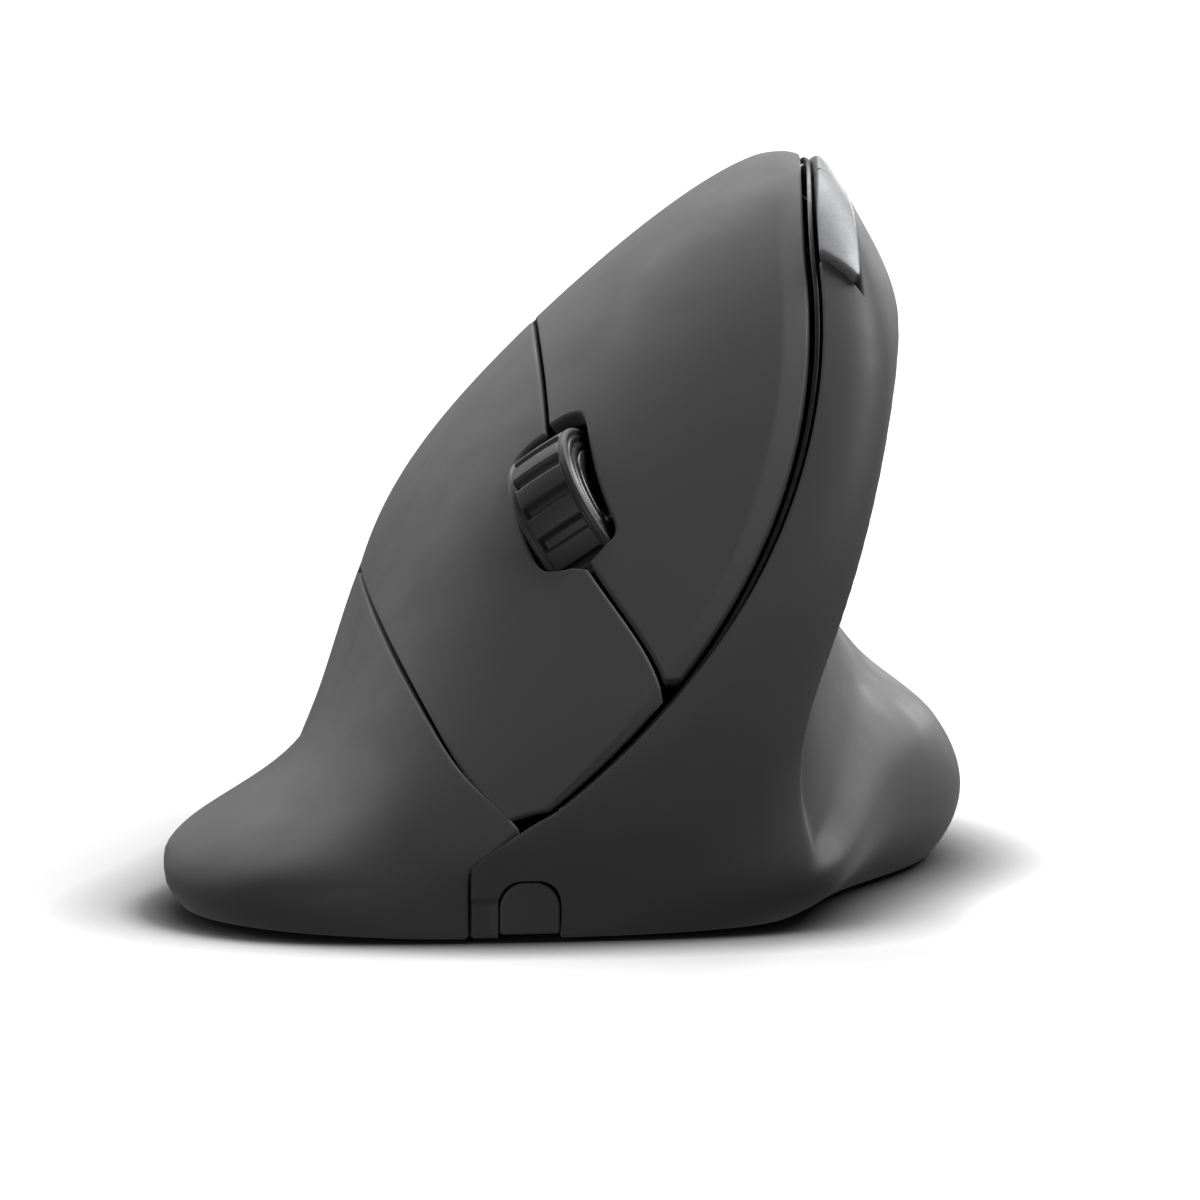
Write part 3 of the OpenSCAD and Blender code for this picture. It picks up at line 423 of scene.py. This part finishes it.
def noise(nodes, links, scale, detail=3.0):
    """Noise on the object's own coordinates, with scale in features to the metre."""
    place_node = nodes.new("ShaderNodeTexCoord")
    node = nodes.new("ShaderNodeTexNoise")
    node.inputs["Scale"].default_value = scale
    node.inputs["Detail"].default_value = detail
    links.new(place_node.outputs["Object"], node.inputs["Vector"])
    return node.outputs["Fac"]


def spread(nodes, links, source, low, high, socket):
    """Noise mapped from its middle range to low and high, into a number socket."""
    node = nodes.new("ShaderNodeMapRange")
    node.inputs["From Min"].default_value = 0.3
    node.inputs["From Max"].default_value = 0.7
    node.inputs["To Min"].default_value = low
    node.inputs["To Max"].default_value = high
    links.new(source, node.inputs["Value"])
    links.new(node.outputs["Result"], socket)


def shades(nodes, links, source, dark, light, socket):
    """Noise mapped to a run of colour from dark to light, into a colour socket."""
    node = nodes.new("ShaderNodeValToRGB")
    node.color_ramp.elements[0].position = 0.32
    node.color_ramp.elements[1].position = 0.68
    node.color_ramp.elements[0].color = (*dark, 1)
    node.color_ramp.elements[1].color = (*light, 1)
    links.new(source, node.inputs["Fac"])
    links.new(node.outputs["Color"], socket)


def grain(nodes, links, source, strength, distance, shader):
    """Bump of the given depth in metres on the shader's normal."""
    node = nodes.new("ShaderNodeBump")
    node.inputs["Strength"].default_value = strength
    node.inputs["Distance"].default_value = distance
    links.new(source, node.inputs["Height"])
    links.new(node.outputs["Normal"], shader.inputs["Normal"])


# %% Recipes of the finishes
def coated(name, grey, rough, grain_scale=2600.0, grain_depth=0.00003, sheen=0.0, tint=(1, 1, 1)):
    """Dull coat: fine grain, cloudy shade and cloudy roughness round one grey."""
    finish, nodes, links, shader = new_finish(name)
    tone = np.array(tint) * grey
    shades(nodes, links, noise(nodes, links, 45.0), tone * 0.97, tone * 1.03, shader.inputs["Base Color"])
    spread(nodes, links, noise(nodes, links, 160.0), rough - 0.05, rough + 0.05, shader.inputs["Roughness"])
    grain(nodes, links, noise(nodes, links, grain_scale, 2.0), 0.25, grain_depth, shader)
    shader.inputs["Specular IOR Level"].default_value = 0.4
    shader.inputs["Sheen Weight"].default_value = sheen
    shader.inputs["Sheen Roughness"].default_value = 0.5
    return finish


def glossy(name, tone, rough):
    """Polished plastic: deep colour, faint waviness and hairline differences of gloss."""
    finish, nodes, links, shader = new_finish(name)
    tone = np.array(tone)
    shades(nodes, links, noise(nodes, links, 120.0), tone * 0.85, tone * 1.15, shader.inputs["Base Color"])
    spread(nodes, links, noise(nodes, links, 900.0), rough * 0.8, rough * 1.25, shader.inputs["Roughness"])
    grain(nodes, links, noise(nodes, links, 300.0, 1.0), 0.08, 0.00005, shader)
    return finish


def metallic(name, tone, rough, metal, flake_scale):
    """Metal or metallic paint: fine flakes in the colour and a satin spread of gloss."""
    finish, nodes, links, shader = new_finish(name)
    tone = np.array(tone)
    flakes = noise(nodes, links, flake_scale, 2.0)
    shades(nodes, links, flakes, tone * 0.9, tone * 1.08, shader.inputs["Base Color"])
    spread(nodes, links, noise(nodes, links, 400.0), rough - 0.05, rough + 0.06, shader.inputs["Roughness"])
    grain(nodes, links, noise(nodes, links, flake_scale, 1.0), 0.12, 0.00002, shader)
    shader.inputs["Metallic"].default_value = metal
    return finish


soft_grey = coated("soft_grey", 0.062, 0.62, sheen=0.12)
soft_dark = coated("soft_dark", 0.056, 0.62, sheen=0.12)
band_black = glossy("band_black", (0.006, 0.006, 0.0065), 0.34)
hub_black = glossy("hub_black", (0.02, 0.02, 0.021), 0.28)
satin_silver = metallic("satin_silver", (0.25, 0.253, 0.26), 0.5, 0.4, 3500.0)
tyre_rubber = coated("tyre_rubber", 0.045, 0.5, 1800.0, 0.00004)
print("finishes:", [m.name for m in (soft_grey, soft_dark, band_black, hub_black, satin_silver, tyre_rubber)])


# %% Finish a piece
def dress(piece, finish, body, slot, *nodes):
    """Gives a piece its finish and its body, and hides the solids that it stands for. The slot argument is
    not used.
    """
    piece.data.materials.append(finish)
    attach(piece, body)
    if nodes:
        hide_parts(*nodes)
    return piece


# %% [markdown]
# ## Palm casing with its fin
# The casing on the palm side runs under the lower button as a narrow strip, flares out into the fin, and
# closes the back behind both buttons. It is an L in surface coordinates, so its grid has two groups of
# rows, and the upper group is left out in front of the rear seam. The columns lean so that one of them is
# that seam.


# %% Palm casing
def settle(s, rows_of):
    """Places u, v of leaning columns: v comes from rows_of(u), u leans with v, and they settle in turn."""
    u = np.broadcast_to(s[:, None], rows_of(s[:, None]).shape)
    for _ in range(8):
        v = rows_of(u)
        u = s[:, None] + rear_slant * (v - split_v) * hat(s[:, None])
    return u, v


def crowded(start, end, n, at_start=True):
    """Shares that stand close together at one end, on a quarter of a cosine."""
    turn = np.linspace(0, np.pi / 2, n)
    return start + (end - start) * ((1 - np.cos(turn)) if at_start else np.sin(turn))


def off_lines(u, v):
    """Squeezes u so that the first and last columns stay a seam's half width off the closing lines."""
    room = casing_gap / 2 + edge_r
    first = length_share(room, np.zeros_like(v), v)
    last = length_share(room, np.ones_like(v), v)
    return first + u * (1 - first - last)


def palm_rows(u):
    """Rows from the foot to the low seam, and on from there to the band line."""
    u = np.broadcast_to(u, (u.shape[0], len(palm_low) + len(palm_high)))
    low = np.minimum(low_at(u), band_v)
    gap = np.where(u < tip_u, casing_gap, seam_gap) / 2 + edge_r
    low = low - girth_share(gap, u, low)
    high = band_v - girth_share(casing_gap / 2 + edge_r, u, np.full(u.shape, band_v))
    part = np.arange(u.shape[1]) < len(palm_low)
    share = np.concatenate([palm_low, palm_high])
    return np.where(part, share * low, low + share * (np.maximum(high, low) - low))


palm_low = tight(34)
palm_high = tight(40)[1:]
rear_edge = rear_u + float(length_share(seam_gap / 2 + edge_r, np.array(rear_u), np.array(split_v)))
palm_s = np.concatenate([crowded(0, rear_edge, 76), crowded(rear_edge, 1, 46, False)[1:]])
palm_u, palm_v = settle(palm_s, palm_rows)
palm_keep = np.ones((len(palm_s) - 1, palm_u.shape[1] - 1), bool)
palm_keep[:75, len(palm_low) - 1:] = False
palm_casing = panel("palm_casing", off_lines(palm_u, palm_v), palm_v, wall, edge_r, keep=palm_keep)
dress(palm_casing, soft_grey, "housing", "palm_casing", "right_shell")

# %% [markdown]
# ## Thumb casing
# The casing on the thumb side is one sheet from the band down to the desk, with the nose wall, the scoop
# and the ledge. It has a window on the ridge for the thumb buttons. The window's front edge slants, so
# the columns near it lean the same way. The rows between band and window sill are left out inside the
# window.

# %% Thumb casing
window_lean, window_bell = 0.026, 0.07


def lean(s, v):
    """Columns near the window's front lean forward by a bell curve, from the sill up to the band."""
    rise = np.clip((thumb_v - v) / (thumb_v - band_v), 0, 1)
    return s + window_lean * rise * np.exp(-((s - window_u[0]) / window_bell) ** 2)


thumb_top = tight(10)
thumb_low = np.concatenate([[0.006], np.linspace(0.02, 1, 130)])
thumb_s = np.concatenate([
    crowded(0, 0.09, 30), np.linspace(0.09, window_u[0], 120)[1:], np.linspace(*window_u, 50)[1:],
    crowded(window_u[1], 1, 44, False)[1:],
])
thumb_grid_s = thumb_s[:, None] + np.zeros(len(thumb_top) + len(thumb_low))
band_side = np.full(thumb_grid_s.shape, band_v)
for _ in range(4):
    band_side = band_v + girth_share(groove_half(lean(thumb_grid_s, band_side)) + edge_r,
                                     lean(thumb_grid_s, band_side), np.full(thumb_grid_s.shape, band_v))
sill = thumb_v + girth_share(edge_r, thumb_grid_s, np.full(thumb_grid_s.shape, thumb_v))
upper = np.arange(thumb_grid_s.shape[1]) < len(thumb_top)
thumb_share = np.concatenate([thumb_top, thumb_low])
casing_v = np.where(upper, band_side + thumb_share * (sill - band_side), sill + thumb_share * (1 - sill))
casing_u = lean(thumb_grid_s, casing_v)
casing_keep = np.ones((len(thumb_s) - 1, len(thumb_share) - 1), bool)
casing_keep[148:197, :len(thumb_top) - 1] = False
thumb_casing = panel("thumb_casing", off_lines(casing_u, casing_v), casing_v, wall, edge_r, keep=casing_keep)
dress(thumb_casing, soft_dark, "housing", "thumb_casing", "left_shell")

# %% [markdown]
# ## Finger buttons
# Both buttons are sheets between two seams, drawn out to the slanted seam behind them. The wheel's slot
# is cut half out of either one, by letting the split open into a superellipse there. The columns stand
# closer where the slot turns its corners, so that these stay round.

# %% Columns of the buttons
slot_turn = slot_u * np.concatenate([
    np.linspace(0.72, 0.92, 9), np.linspace(0.94, 1.0, 7), np.linspace(1.006, 1.05, 14),
])
front_run, close_u = 0.04, 0.002
rear_inner = 2 * rear_u - rear_edge


def button_columns(start, middle, n):
    """Even columns from start to the rear seam, with close ones where the wheel's slot turns its corners."""
    front = start + front_run * np.linspace(0, 1, 12) ** 2
    even = np.concatenate([front, np.linspace(start + front_run + 0.005, rear_inner, n)])
    close = np.concatenate([middle - slot_turn, middle + slot_turn])
    even = even[np.abs(even[:, None] - close).min(1) > close_u]
    return np.sort(np.concatenate([even, close]))


def below_band(u):
    """Edge of the buttons along the band's groove, set in by the rim."""
    return band_v - girth_share(groove_half(u) + edge_r, u, np.full(u.shape, band_v))


# %% Lower button
def lower_rows(u):
    """Rows from the low seam up to the split, or to the band where the split has met it."""
    u = np.broadcast_to(u, (u.shape[0], len(lower_share)))
    low = low_at(u) + girth_share(seam_gap / 2 + edge_r, u, low_at(u))
    split = np.minimum(split_at(u), band_v)
    high = np.minimum(below_band(u), split - girth_share(split_half(u, edge_r, slot_low), u, split))
    return low + lower_share * (np.maximum(high, low + 1e-4) - low)


lower_share = tight(56)
lower_u, lower_v = settle(button_columns(0.054, slot_low, 70), lower_rows)
lower_button = panel("lower_button", lower_u, lower_v, tip_wall, edge_r)
dress(lower_button, soft_grey, "secondary_button", "finger_buttons", "secondary_button")


# %% Upper button
def upper_rows(u):
    """Rows from the split up to the crease of the bevel, and from there to the band."""
    u = np.broadcast_to(u, (u.shape[0], len(upper_share)))
    low = split_at(u) + girth_share(split_half(u, edge_r, slot_mid), u, np.minimum(split_at(u), band_v))
    high = below_band(u)
    crease = np.maximum(band_v - bevel_v * (1 + bevel_soft), low + 0.5 * (high - low))
    part = np.arange(len(upper_share)) < len(crease_low)
    return np.where(part, low + upper_share * (crease - low), crease + upper_share * (high - crease))


crease_low = tight(48)[:-1]
crease_high = tight(14)
upper_share = np.concatenate([crease_low, crease_high])
upper_u, upper_v = settle(button_columns(0.133, slot_mid, 62), upper_rows)
upper_button = panel("upper_button", upper_u, upper_v, wall, edge_r)
dress(upper_button, soft_grey, "primary_button", "finger_buttons", "primary_button")

# %% [markdown]
# ## Black band
# A gloss strip lies in the groove between the finger face and the thumb side, a little below the surface,
# so that it shows as one dark line with a thin highlight. It could be a swept curve, but as a thin,
# narrow panel it follows the groove by itself. It leaves room for the buttons, which swing towards it
# when pressed, and moves aside towards the thumb casing near the nose, where the lower button swings
# furthest.

# %% Black band
strip_t, strip_r, strip_depth, strip_room = 0.45, 0.16, 0.55, 0.2
strip_start, strip_end, strip_w = 1.2, 0.002, 0.4
strip_aside, aside_u, aside_run = 0.6, 0.13, 0.08
band_u = np.linspace(tip_u + strip_start * tip_ramp, band_end - strip_end, 150)[:, None] + np.zeros(7)
band_half = girth_share(groove_half(band_u) - strip_room, band_u, np.full(band_u.shape, band_v))
aside = strip_aside * (1 - ease((band_u - aside_u) / aside_run))
strip_v = band_v + band_half * (aside + np.linspace(0.0, strip_w, 7))
band_strip = panel("band_strip", band_u, strip_v, strip_t, strip_r, -strip_depth)
dress(band_strip, band_black, "housing", "band", "band_trim")

# %% [markdown]
# ## Thumb buttons
# Two satin silver keys sit in the window on the ridge. They stand a millimetre proud of it at the front
# and sink until they are nearly flush behind the top. They follow the ridge, so they are panels too,
# lifted and thicker, with a rounded rim. The front one starts at the slanted edge.

# %% Thumb buttons
thumb_out, key_gap, key_r, front_gap, band_room = 1.0, 0.45, 0.3, 0.55, 0.15
key_drop, drop_u, drop_run = 0.75, 0.44, 0.09
key_u, key_v, pair_share = 0.45, 0.575, 0.6


def key_height(u):
    """Height of the keys over the casing: full at the front, and nearly flush behind the top of the ridge."""
    return thumb_out * (1 - key_drop * ease((u - drop_u) / drop_run))


def thumb_key(name, body, start, end):
    """Key between two columns of the window, clear of the groove, the sill and its neighbour."""
    s = np.linspace(start, end, 40)[:, None] + np.zeros(22)
    line = np.full(s.shape, band_v)
    sill_line = np.full(s.shape, thumb_v)
    low = band_v + girth_share(groove_half(lean(s, line)) + band_room + key_r, lean(s, line), line)
    high = thumb_v - girth_share(key_gap + key_r, lean(s, sill_line), sill_line)
    v = low + tight(18) * (high - low)
    key = panel(name, lean(s, v), v, wall + thumb_out, key_r, key_height)
    return dress(key, satin_silver, body, "thumb_buttons", body)


key_room = float(length_share(key_gap + key_r, np.array(key_u), np.array(key_v)))
front_room = float(length_share(front_gap + key_r, np.array(key_u), np.array(key_v)))
thumb_key("front_key", "forward_button", window_u[0] + front_room, thumb_split - key_room * pair_share)
thumb_key("rear_key", "back_button", thumb_split + key_room * pair_share, window_u[1] - key_room)

# %% [markdown]
# ## Scroll wheel
# The wheel leans between the two buttons. Its rubber tyre has flat pads with deep cross grooves between
# two thin rims, and its hub is a polished dish. Both are turned shapes: a profile carried round the axle.
# The pads are a change of radius with the angle, so a single grid gives the whole tyre.

# %% Wheel axes
wheel_r, wheel_lean, wheel_out, wheel_pads = 9.5, 10.0, 3.2, 16
at = (np.array([wheel_u]), split_at(np.array([wheel_u])))
wheel_mark = place(*at, 0.0)[0]
face = outward(*at)[0]
step_u = np.array([wheel_u - 1e-3, wheel_u + 1e-3])
path = skin(step_u, split_at(step_u))
wheel_t = unit(path[1] - path[0])
flat_axle = np.cross(wheel_t, face)
tilt = np.radians(wheel_lean)
wheel_a = flat_axle * np.cos(tilt) + face * np.sin(tilt)
wheel_n = face * np.cos(tilt) - flat_axle * np.sin(tilt)
wheel_c = wheel_mark - wheel_n * (wheel_r - wheel_out)
print("wheel centre:", wheel_c.round(2), "mm")


def turned(name, across, radius, turn):
    """Closed ring: points at radius round the axle at each turn, across along it, joined both ways."""
    spoke = np.cos(turn)[..., None] * wheel_n + np.sin(turn)[..., None] * wheel_t
    points = wheel_c + across[..., None] * wheel_a + radius[..., None] * spoke
    m, n = radius.shape
    number = np.arange(m * n).reshape(m, n)
    after, below = np.roll(number, -1, 0), np.roll(number, -1, 1)
    both = np.roll(after, -1, 1)
    quads = np.stack([number, after, both, below], -1).reshape(-1, 4)
    return make_piece(name, points.reshape(-1, 3), quads)


# %% Tyre
tyre_bore, rim_w, pad_depth, groove_share, groove_start = 6.9, 0.75, 1.3, 0.36, 0.37
tread_x = np.concatenate([np.linspace(-3.5, -2.5, 12), np.linspace(-2.4, 2.4, 14), np.linspace(2.5, 3.5, 12)])
edge_x = 3.5 - np.abs(tread_x)
rim_bend, line_depth, line_half, crown_drop = 0.34, 0.22, 0.1, 0.18
rim_round = rim_bend - np.sqrt(np.maximum(0, rim_bend ** 2 - np.maximum(0, rim_bend - edge_x) ** 2))
rim_line = line_depth * np.exp(-((edge_x - rim_w) / line_half) ** 2)
around = np.linspace(0, 2 * np.pi, wheel_pads * 22, endpoint=False)
phase = np.abs((around * wheel_pads / (2 * np.pi) + groove_start) % 1 - 0.5) * 2
groove = 1 - ease((phase - groove_share + 0.07) / 0.14)
between_rims = ease((edge_x - rim_w - 0.12) / 0.18)
crown = crown_drop * (tread_x / 3.5) ** 2
tread_r = wheel_r - rim_round - rim_line - crown - pad_depth * groove[:, None] * between_rims
bead_r = np.array([8.95, 8.8, 8.7, 8.55, 8.4, 8.2, 8.05, 7.9, 7.8, 7.6, 7.4, 7.2, 7.0])
bead_x = np.array([3.5, 3.42, 3.25, 3.25, 3.42, 3.5, 3.42, 3.25, 3.25, 3.38, 3.45, 3.38, 3.2])
bore_x = np.concatenate([bead_x, np.linspace(3.1, -3.1, 5), -bead_x[::-1]])
bore_r = np.concatenate([bead_r, np.full(5, tyre_bore), bead_r[::-1]])
tyre_x = np.concatenate([tread_x, bore_x]) + np.zeros((len(around), 1))
tyre_radius = np.concatenate([tread_r, np.broadcast_to(bore_r, (len(around), len(bore_r)))], 1)
tyre = turned("tyre", tyre_x, tyre_radius, around[:, None] + np.zeros(tyre_x.shape[1]))
dress(tyre, tyre_rubber, "wheel", "tyre", "wheel_tyre")
tyre.data.materials.append(hub_black)
polished = np.zeros(tyre_x.shape, np.int32)
polished[:, len(tread_x) + 2:-2] = 1
tyre.data.polygons.foreach_set("material_index", polished.ravel())

# %% Hub
hub_r = np.array([6.88, 6.85, 6.7, 6.4, 6.1, 5.8, 5.2, 4.5, 3.8, 3.0, 2.7, 2.5, 2.2, 1.6, 1.02])
hub_x = np.array([3.2, 3.38, 3.46, 3.46, 3.4, 3.28, 3.05, 2.85, 2.7, 2.6, 2.58, 2.6, 2.64, 2.66, 2.66])
side_r = np.concatenate([hub_r, hub_r[::-1]])
side_x = np.concatenate([hub_x, -hub_x[::-1]])
hub_turn = np.linspace(0, 2 * np.pi, 128, endpoint=False)
hub_shape = np.zeros((128, len(side_r)))
hub = turned("hub", hub_shape - side_x, hub_shape + side_r, hub_turn[:, None] + hub_shape)
dress(hub, hub_black, "wheel", "hub", "wheel_hub")

# %% [markdown]
# ## Closed cable exit
# Moulders often use one nose wall for a corded and a cordless mouse, and close the cord's exit with an
# arch-shaped plug. The wall gets an arched opening, cut with Blender's Boolean, because the arch does not
# follow the surface's own lines. The plug is a small grid wrapped into a rounded arch.

# %% Places on the nose wall
blank_x, blank_w, blank_h, corner_r, blank_gap = -8.4 + home[0], 5.6, 5.6, 2.2, 0.16


def nose_places(x, z):
    """Surface places of nose points given by x and z: nearest of a table, then Newton's steps."""
    table_u, table_v = np.meshgrid(np.linspace(0.003, 0.08, 60), np.linspace(0.6, 1, 60), indexing="ij")
    known = skin(table_u, table_v).reshape(-1, 3)
    far = (known[:, 0] - x.ravel()[:, None]) ** 2 + (known[:, 2] - z.ravel()[:, None]) ** 2
    near = far.argmin(1)
    u, v = table_u.ravel()[near].reshape(x.shape), table_v.ravel()[near].reshape(x.shape)
    for _ in range(12):
        gap_x, gap_z = x - skin(u, v)[..., 0], z - skin(u, v)[..., 2]
        du, dv = along_u(u, v), along_v(u, v)
        area = du[..., 0] * dv[..., 2] - dv[..., 0] * du[..., 2]
        u = np.clip(u + (gap_x * dv[..., 2] - gap_z * dv[..., 0]) / area, 0.001, 0.15)
        v = np.clip(v + (gap_z * du[..., 0] - gap_x * du[..., 2]) / area, 0.56, 1)
    return u, v


def arch_half(z, half, top):
    """Half width of the arch at height z: straight sides, then corners on a quarter circle."""
    drop = np.clip((z - top + corner_r) / corner_r, 0, 1)
    return half - corner_r * (1 - np.sqrt(1 - drop ** 2))


# %% Plug
plug_r = 0.22
plug_half, plug_top = blank_w / 2 - plug_r, blank_h - plug_r
plug_bend = crowded(plug_top - corner_r, plug_top, 14, False)[::-1]
plug_z = np.concatenate([plug_bend, np.linspace(plug_top - corner_r - 0.2, 1.0, 12)])
plug_x = blank_x + tight(16)[:, None] * 2 * arch_half(plug_z, plug_half, plug_top)
plug_x = plug_x - arch_half(plug_z, plug_half, plug_top)
plug_u, plug_v = nose_places(plug_x, plug_z + np.zeros(plug_x.shape))
plug = panel("plug", plug_u, plug_v, 1.6, plug_r, -0.1)
dress(plug, coated("plug_grey", 0.066, 0.55, 1800.0), "housing", "blank", "cable_blank")

# %% Opening round the plug
hole_half, hole_top = blank_w / 2 + blank_gap, blank_h + blank_gap
hole_bend = crowded(hole_top - corner_r, hole_top, 18, False)[1:]
hole_z = np.concatenate([[-1.0], np.linspace(1.0, hole_top - corner_r, 5), hole_bend])
hole_x = arch_half(hole_z, hole_half, hole_top)
outline = np.concatenate([np.stack([hole_x, hole_z], -1), np.stack([-hole_x, hole_z], -1)[::-1]])
hole_y = np.array([-63.0, -55.0])[:, None]
hole_ring = np.stack(np.broadcast_arrays(blank_x + outline[:, 0], hole_y, outline[:, 1]), -1)
hole_number = np.arange(2 * len(outline)).reshape(2, -1)
hole_side = strips(hole_number)
rung = np.arange(len(hole_z) - 1)
hole_cap = np.stack([rung, rung + 1, len(outline) - 2 - rung, len(outline) - 1 - rung], -1)
hole_quads = np.concatenate([hole_side, hole_cap[:, ::-1], hole_cap + len(outline)])
cutter = make_piece("plug_cutter", hole_ring.reshape(-1, 3), hole_quads)
cut = thumb_casing.modifiers.new("plug_opening", "BOOLEAN")
cut.operation, cut.solver, cut.object = "DIFFERENCE", "EXACT", cutter
bpy.context.view_layer.update()
opened = bpy.data.meshes.new_from_object(thumb_casing.evaluated_get(bpy.context.evaluated_depsgraph_get()))
thumb_casing.modifiers.clear()
thumb_casing.data = opened
opened.set_sharp_from_angle(angle=np.radians(40))
bpy.data.objects.remove(cutter)
print("thumb casing after the cut:", len(opened.polygons), "faces")

# %% [markdown]
# ## Underside and inner works
# The base, the feet, the screws, the cover and all that sits inside keep their CAD shape. Each one only
# changes its finish, through the material slots of its object: moulded plastic, slick foot film,
# zinc-plated steel, green board, and the plain blue sleeve of the cell.

# %% Finishes of the kept solids
base_black = coated("base_black", 0.022, 0.5, 1500.0, 0.00004)
foot_film = glossy("foot_film", (0.05, 0.05, 0.053), 0.3)
zinc = metallic("zinc", (0.66, 0.66, 0.64), 0.3, 1.0, 1500.0)
inner_black = coated("inner_black", 0.03, 0.45, 1200.0)
board_green = coated("board_green", 0.09, 0.4, 3000.0, 0.00002, tint=(0.25, 1.0, 0.42))
switch_black = coated("switch_black", 0.018, 0.4, 1400.0)
chip_black = coated("chip_black", 0.012, 0.5, 4000.0)
cell_wrap = glossy("cell_wrap", (0.05, 0.16, 0.34), 0.25)
spring_steel = metallic("spring_steel", (0.75, 0.73, 0.68), 0.22, 1.0, 900.0)
knob_grey = coated("knob_grey", 0.3, 0.45, 1600.0)
clear_lens = glossy("clear_lens", (0.75, 0.78, 0.8), 0.08)
kept_finish = {
    base_black: ("base_plate", "battery_cover"), foot_film: ("glide_feet",),
    zinc: ("base_screws", "board_screws", "wheel_axle"), inner_black: ("chassis", "wheel_cradle", "encoder"),
    board_green: ("button_board", "thumb_board", "main_board"),
    switch_black: ("primary_switch", "secondary_switch", "click_switch", "thumb_switches", "power_switch"),
    chip_black: ("controller_chip", "motion_sensor"), cell_wrap: ("battery",),
    spring_steel: ("contact_plate", "contact_spring"), knob_grey: ("power_knob",),
    clear_lens: ("sensor_lens",),
}
for finish, names in kept_finish.items():
    for name in names:
        for material_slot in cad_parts[name].material_slots:
            material_slot.material = finish
print("kept solids:", sum(len(names) for names in kept_finish.values()))

# %% [markdown]
# ## Floor and light
# The photograph is a plain product shot: a white floor without a horizon, broad lamps above and behind
# that draw the long soft edges, a small one low at the rear for the rims, and a weak one in front. A grid
# bent upwards at the back makes the floor. Its colour darkens where the mouse covers it, which gives the
# narrow contact shade that lamps this broad would wash out. Light that the floor throws back is left out,
# because the nose stays dark in the photograph.

# %% Floor
floor_t = np.linspace(0, 1, 60)
flat_share, floor_near, floor_far, bend_out, bend_up = 0.6, -1200, 600, 500, 900
floor_bend = np.clip((floor_t - flat_share) / (1 - flat_share), 0, 1) * np.pi / 2
floor_run = (floor_far - floor_near) * np.minimum(floor_t / flat_share, 1)
floor_y = floor_near + floor_run + bend_out * np.sin(floor_bend)
floor_z = bend_up * (1 - np.cos(floor_bend))
floor_x = np.linspace(-1500, 1500, 30)
floor_points = np.stack(np.broadcast_arrays(floor_x, floor_y[:, None], floor_z[:, None]), -1)
floor = make_piece("floor", floor_points.reshape(-1, 3), grid_quads((60, 30)).reshape(-1, 4))
floor_white, floor_nodes, floor_links, floor_shader = new_finish("floor_white")
openness = floor_nodes.new("ShaderNodeAmbientOcclusion")
openness.inputs["Distance"].default_value = 0.012
steeper = floor_nodes.new("ShaderNodeMath")
steeper.operation = "POWER"
steeper.inputs[1].default_value = 3.0
floor_links.new(openness.outputs["AO"], steeper.inputs[0])
floor_shade = floor_nodes.new("ShaderNodeValToRGB")
floor_shade.color_ramp.elements[0].color = (0.03, 0.03, 0.03, 1)
floor_shade.color_ramp.elements[1].color = (0.88, 0.88, 0.88, 1)
floor_links.new(steeper.outputs["Value"], floor_shade.inputs["Fac"])
floor_links.new(floor_shade.outputs["Color"], floor_shader.inputs["Base Color"])
floor_shader.inputs["Roughness"].default_value = 0.9
floor.data.materials.append(floor_white)
floor.visible_diffuse = False
floor.visible_glossy = False


# %% Lights
def lamp(name, spot, aim, size, watts):
    """Rectangular area light of a size in metres at a spot, turned to its aim."""
    data = bpy.data.lights.new(name, "AREA")
    data.shape, data.size, data.size_y, data.energy = "RECTANGLE", size[0], size[1], watts
    light = bpy.data.objects.new(name, data)
    bpy.context.collection.objects.link(light)
    light.location = spot
    light.rotation_euler = (Vector(aim) - Vector(spot)).to_track_quat("-Z", "Y").to_euler()
    return light


middle = (0, -0.01, 0.036)
lamp("left_box", (-0.85, 0.8, 0.4), middle, (0.5, 0.9), 4.0)
lamp("right_box", (0.65, 0.1, 0.9), middle, (0.5, 0.7), 13.0)
lamp("top_box", (0.0, 0.8, 0.85), middle, (1.0, 0.6), 8.2)
lamp("rim_box", (0.5, 0.95, 0.15), middle, (0.2, 0.4), 7.0)
lamp("front_fill", (-0.55, -1.0, 0.2), middle, (0.6, 0.3), 2.3)
world = bpy.data.worlds.new("studio")
world.use_nodes = True
world.node_tree.nodes["Background"].inputs["Color"].default_value = (1, 1, 1, 1)
world.node_tree.nodes["Background"].inputs["Strength"].default_value = 0.12
bpy.context.scene.world = world
bpy.context.scene.view_settings.view_transform = "Standard"

# %% [markdown]
# ## Camera
# A long lens from nearly straight ahead, a little to the left and five degrees up, gives the flat
# perspective of the photograph. The camera aims beside the middle of the mouse, which sets the mouse in
# the frame.

# %% Camera
turn, rise = np.radians(-6), np.radians(5)
back = np.array([np.sin(turn) * np.cos(rise), -np.cos(turn) * np.cos(rise), np.sin(rise)])
right = np.array([np.cos(turn), np.sin(turn), 0])
above = np.cross(back, right)
target = np.array([home[0], -10, 36.7])
aim_right, aim_up, stand_off = 3.3, -9.27, 620.0
lens = bpy.data.cameras.new("camera")
lens.lens, lens.sensor_width = 186, 36
camera = bpy.data.objects.new("camera", lens)
bpy.context.collection.objects.link(camera)
camera.location = (target + aim_right * right + aim_up * above + stand_off * back) * mm
camera.rotation_euler = Vector(-back).to_track_quat("-Z", "Y").to_euler()
bpy.context.scene.camera = camera
